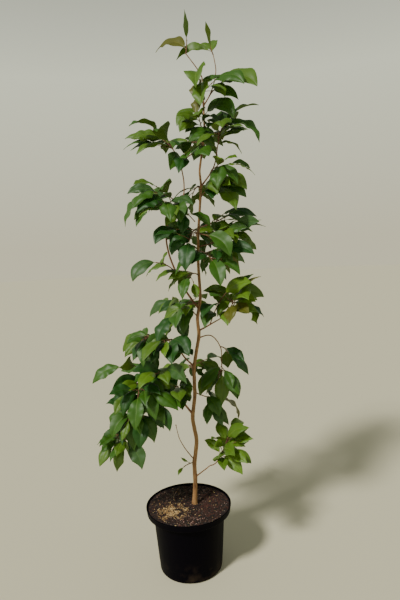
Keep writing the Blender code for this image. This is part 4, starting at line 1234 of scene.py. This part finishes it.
def make_grains():
    """Grains and crumbs on the soil, each an irregular little stone or chip of twenty faces."""
    golden = (1 + math.sqrt(5)) / 2
    corners = []
    for a, b in ((1, golden), (-1, golden), (1, -golden), (-1, -golden)):
        corners += [Vector((0, a, b)).normalized(), Vector((a, b, 0)).normalized(), Vector((b, 0, a)).normalized()]
    edge = min((corners[0] - other).length for other in corners[1:])
    faces = [(i, j, k) for i in range(12) for j in range(i + 1, 12) for k in range(j + 1, 12)
             if max((corners[i] - corners[j]).length, (corners[j] - corners[k]).length,
                    (corners[i] - corners[k]).length) < edge * 1.1]
    faces = [f if (corners[f[1]] - corners[f[0]]).cross(corners[f[2]] - corners[f[0]]).dot(corners[f[0]]) > 0
             else (f[0], f[2], f[1]) for f in faces]
    heap = Heap()
    materials = []
    reach = RIM_RADIUS - POT_WALL - 0.004
    for number, row in enumerate(GRAINS):
        material, shader = new_material(f"grain_{row.name}", row.colour, 0.85)
        add_bump(material.node_tree, shader, add_noise(material.node_tree, 1500.0, 2.0), 0.4, 0.0004)
        materials.append(material)
        luck = chance("grains", row.name)
        for _ in range(row.count):
            spot = grain_place(row, luck, reach)
            size = luck.uniform(*row.sizes)
            turn = Matrix.Rotation(luck.uniform(0.0, math.tau), 3, "Z") @ Matrix.Rotation(luck.uniform(-0.6, 0.6), 3, "X")
            stretch = Vector((luck.uniform(0.8, 1.6), luck.uniform(0.7, 1.1), row.flatness * luck.uniform(0.6, 1.1)))
            centre = Vector((spot.x, spot.y, soil_height(spot.x, spot.y) + size * row.flatness * 0.4))
            stone = [centre + turn @ Vector([c * s for c, s in zip(corner, stretch)]) * size * luck.uniform(0.8, 1.15)
                     for corner in corners]
            heap.add(stone, faces, number)
    grains = piece_from(heap, "soil_grains", materials, [])
    for polygon in grains.data.polygons:
        polygon.use_smooth = False


# Studio light
KEY_STRENGTH = 3.6
KEY_SOFTNESS = math.radians(9.0)
KEY_COLOUR = (1.0, 0.965, 0.90)
KEY_HEADING = Vector((0.52, 0.62, -0.80))


def make_stage():
    """A wide pale floor, a soft key light from the upper left front, and a pale surround, dimmer overhead."""
    floor_radius = 14.0
    sides = 96
    points = [(floor_radius * math.cos(math.tau * k / sides), floor_radius * math.sin(math.tau * k / sides), -0.0002)
              for k in range(sides)]
    mesh = bpy.data.meshes.new("floor")
    mesh.from_pydata(points, [], [tuple(range(sides))])
    material, shader = new_material("pale_floor", (0.63, 0.60, 0.425), 0.9)
    mesh.materials.append(material)
    floor = bpy.data.objects.new("floor", mesh)
    bpy.context.scene.collection.objects.link(floor)
    key = bpy.data.lights.new("key", "SUN")
    key.energy = KEY_STRENGTH
    key.angle = KEY_SOFTNESS
    key.color = KEY_COLOUR
    light = bpy.data.objects.new("key", key)
    light.rotation_euler = KEY_HEADING.to_track_quat("-Z", "Y").to_euler()
    bpy.context.scene.collection.objects.link(light)
    world = bpy.data.worlds.new("pale_sky")
    world.use_nodes = True
    tree = world.node_tree
    place = tree.nodes.new("ShaderNodeTexCoord")
    split = tree.nodes.new("ShaderNodeSeparateXYZ")
    tree.links.new(place.outputs["Generated"], split.inputs["Vector"])
    colour = add_ramp(tree, split.outputs["Z"], ((0.0, (0.69, 0.65, 0.46)), (0.30, (0.78, 0.80, 0.62)),
                                                 (0.62, (0.18, 0.19, 0.19))))
    tree.links.new(colour, tree.nodes["Background"].inputs["Color"])
    bpy.context.scene.world = world


# The photograph's view: a hand-held camera in front, tipped a little down and a little askew
CAMERA_PLACE = Vector((0.0547, -1.261, 0.860))
CAMERA_DOWN = 6.53
CAMERA_ROLL = 2.60
CAMERA_LENS = 30.0


def make_camera():
    down, roll = math.radians(CAMERA_DOWN), math.radians(CAMERA_ROLL)
    forward = Vector((0.0, math.cos(down), -math.sin(down)))
    level = Vector((1.0, 0.0, 0.0))
    upward = level.cross(forward)
    right = level * math.cos(roll) - upward * math.sin(roll)
    top = upward * math.cos(roll) + level * math.sin(roll)
    lens = bpy.data.cameras.new("camera")
    lens.lens = CAMERA_LENS
    lens.sensor_width = 36.0
    lens.sensor_fit = "AUTO"
    camera = bpy.data.objects.new("camera", lens)
    turn = Matrix((right, top, -forward)).transposed().to_4x4()
    camera.matrix_world = Matrix.Translation(CAMERA_PLACE) @ turn
    bpy.context.scene.collection.objects.link(camera)
    bpy.context.scene.camera = camera


make_stage()
make_camera()
limbs, sprays, obstacles = grow_plant()
make_pot()
make_soil()
make_grains()
make_limbs(limbs)
make_foliage(limbs, sprays, obstacles)
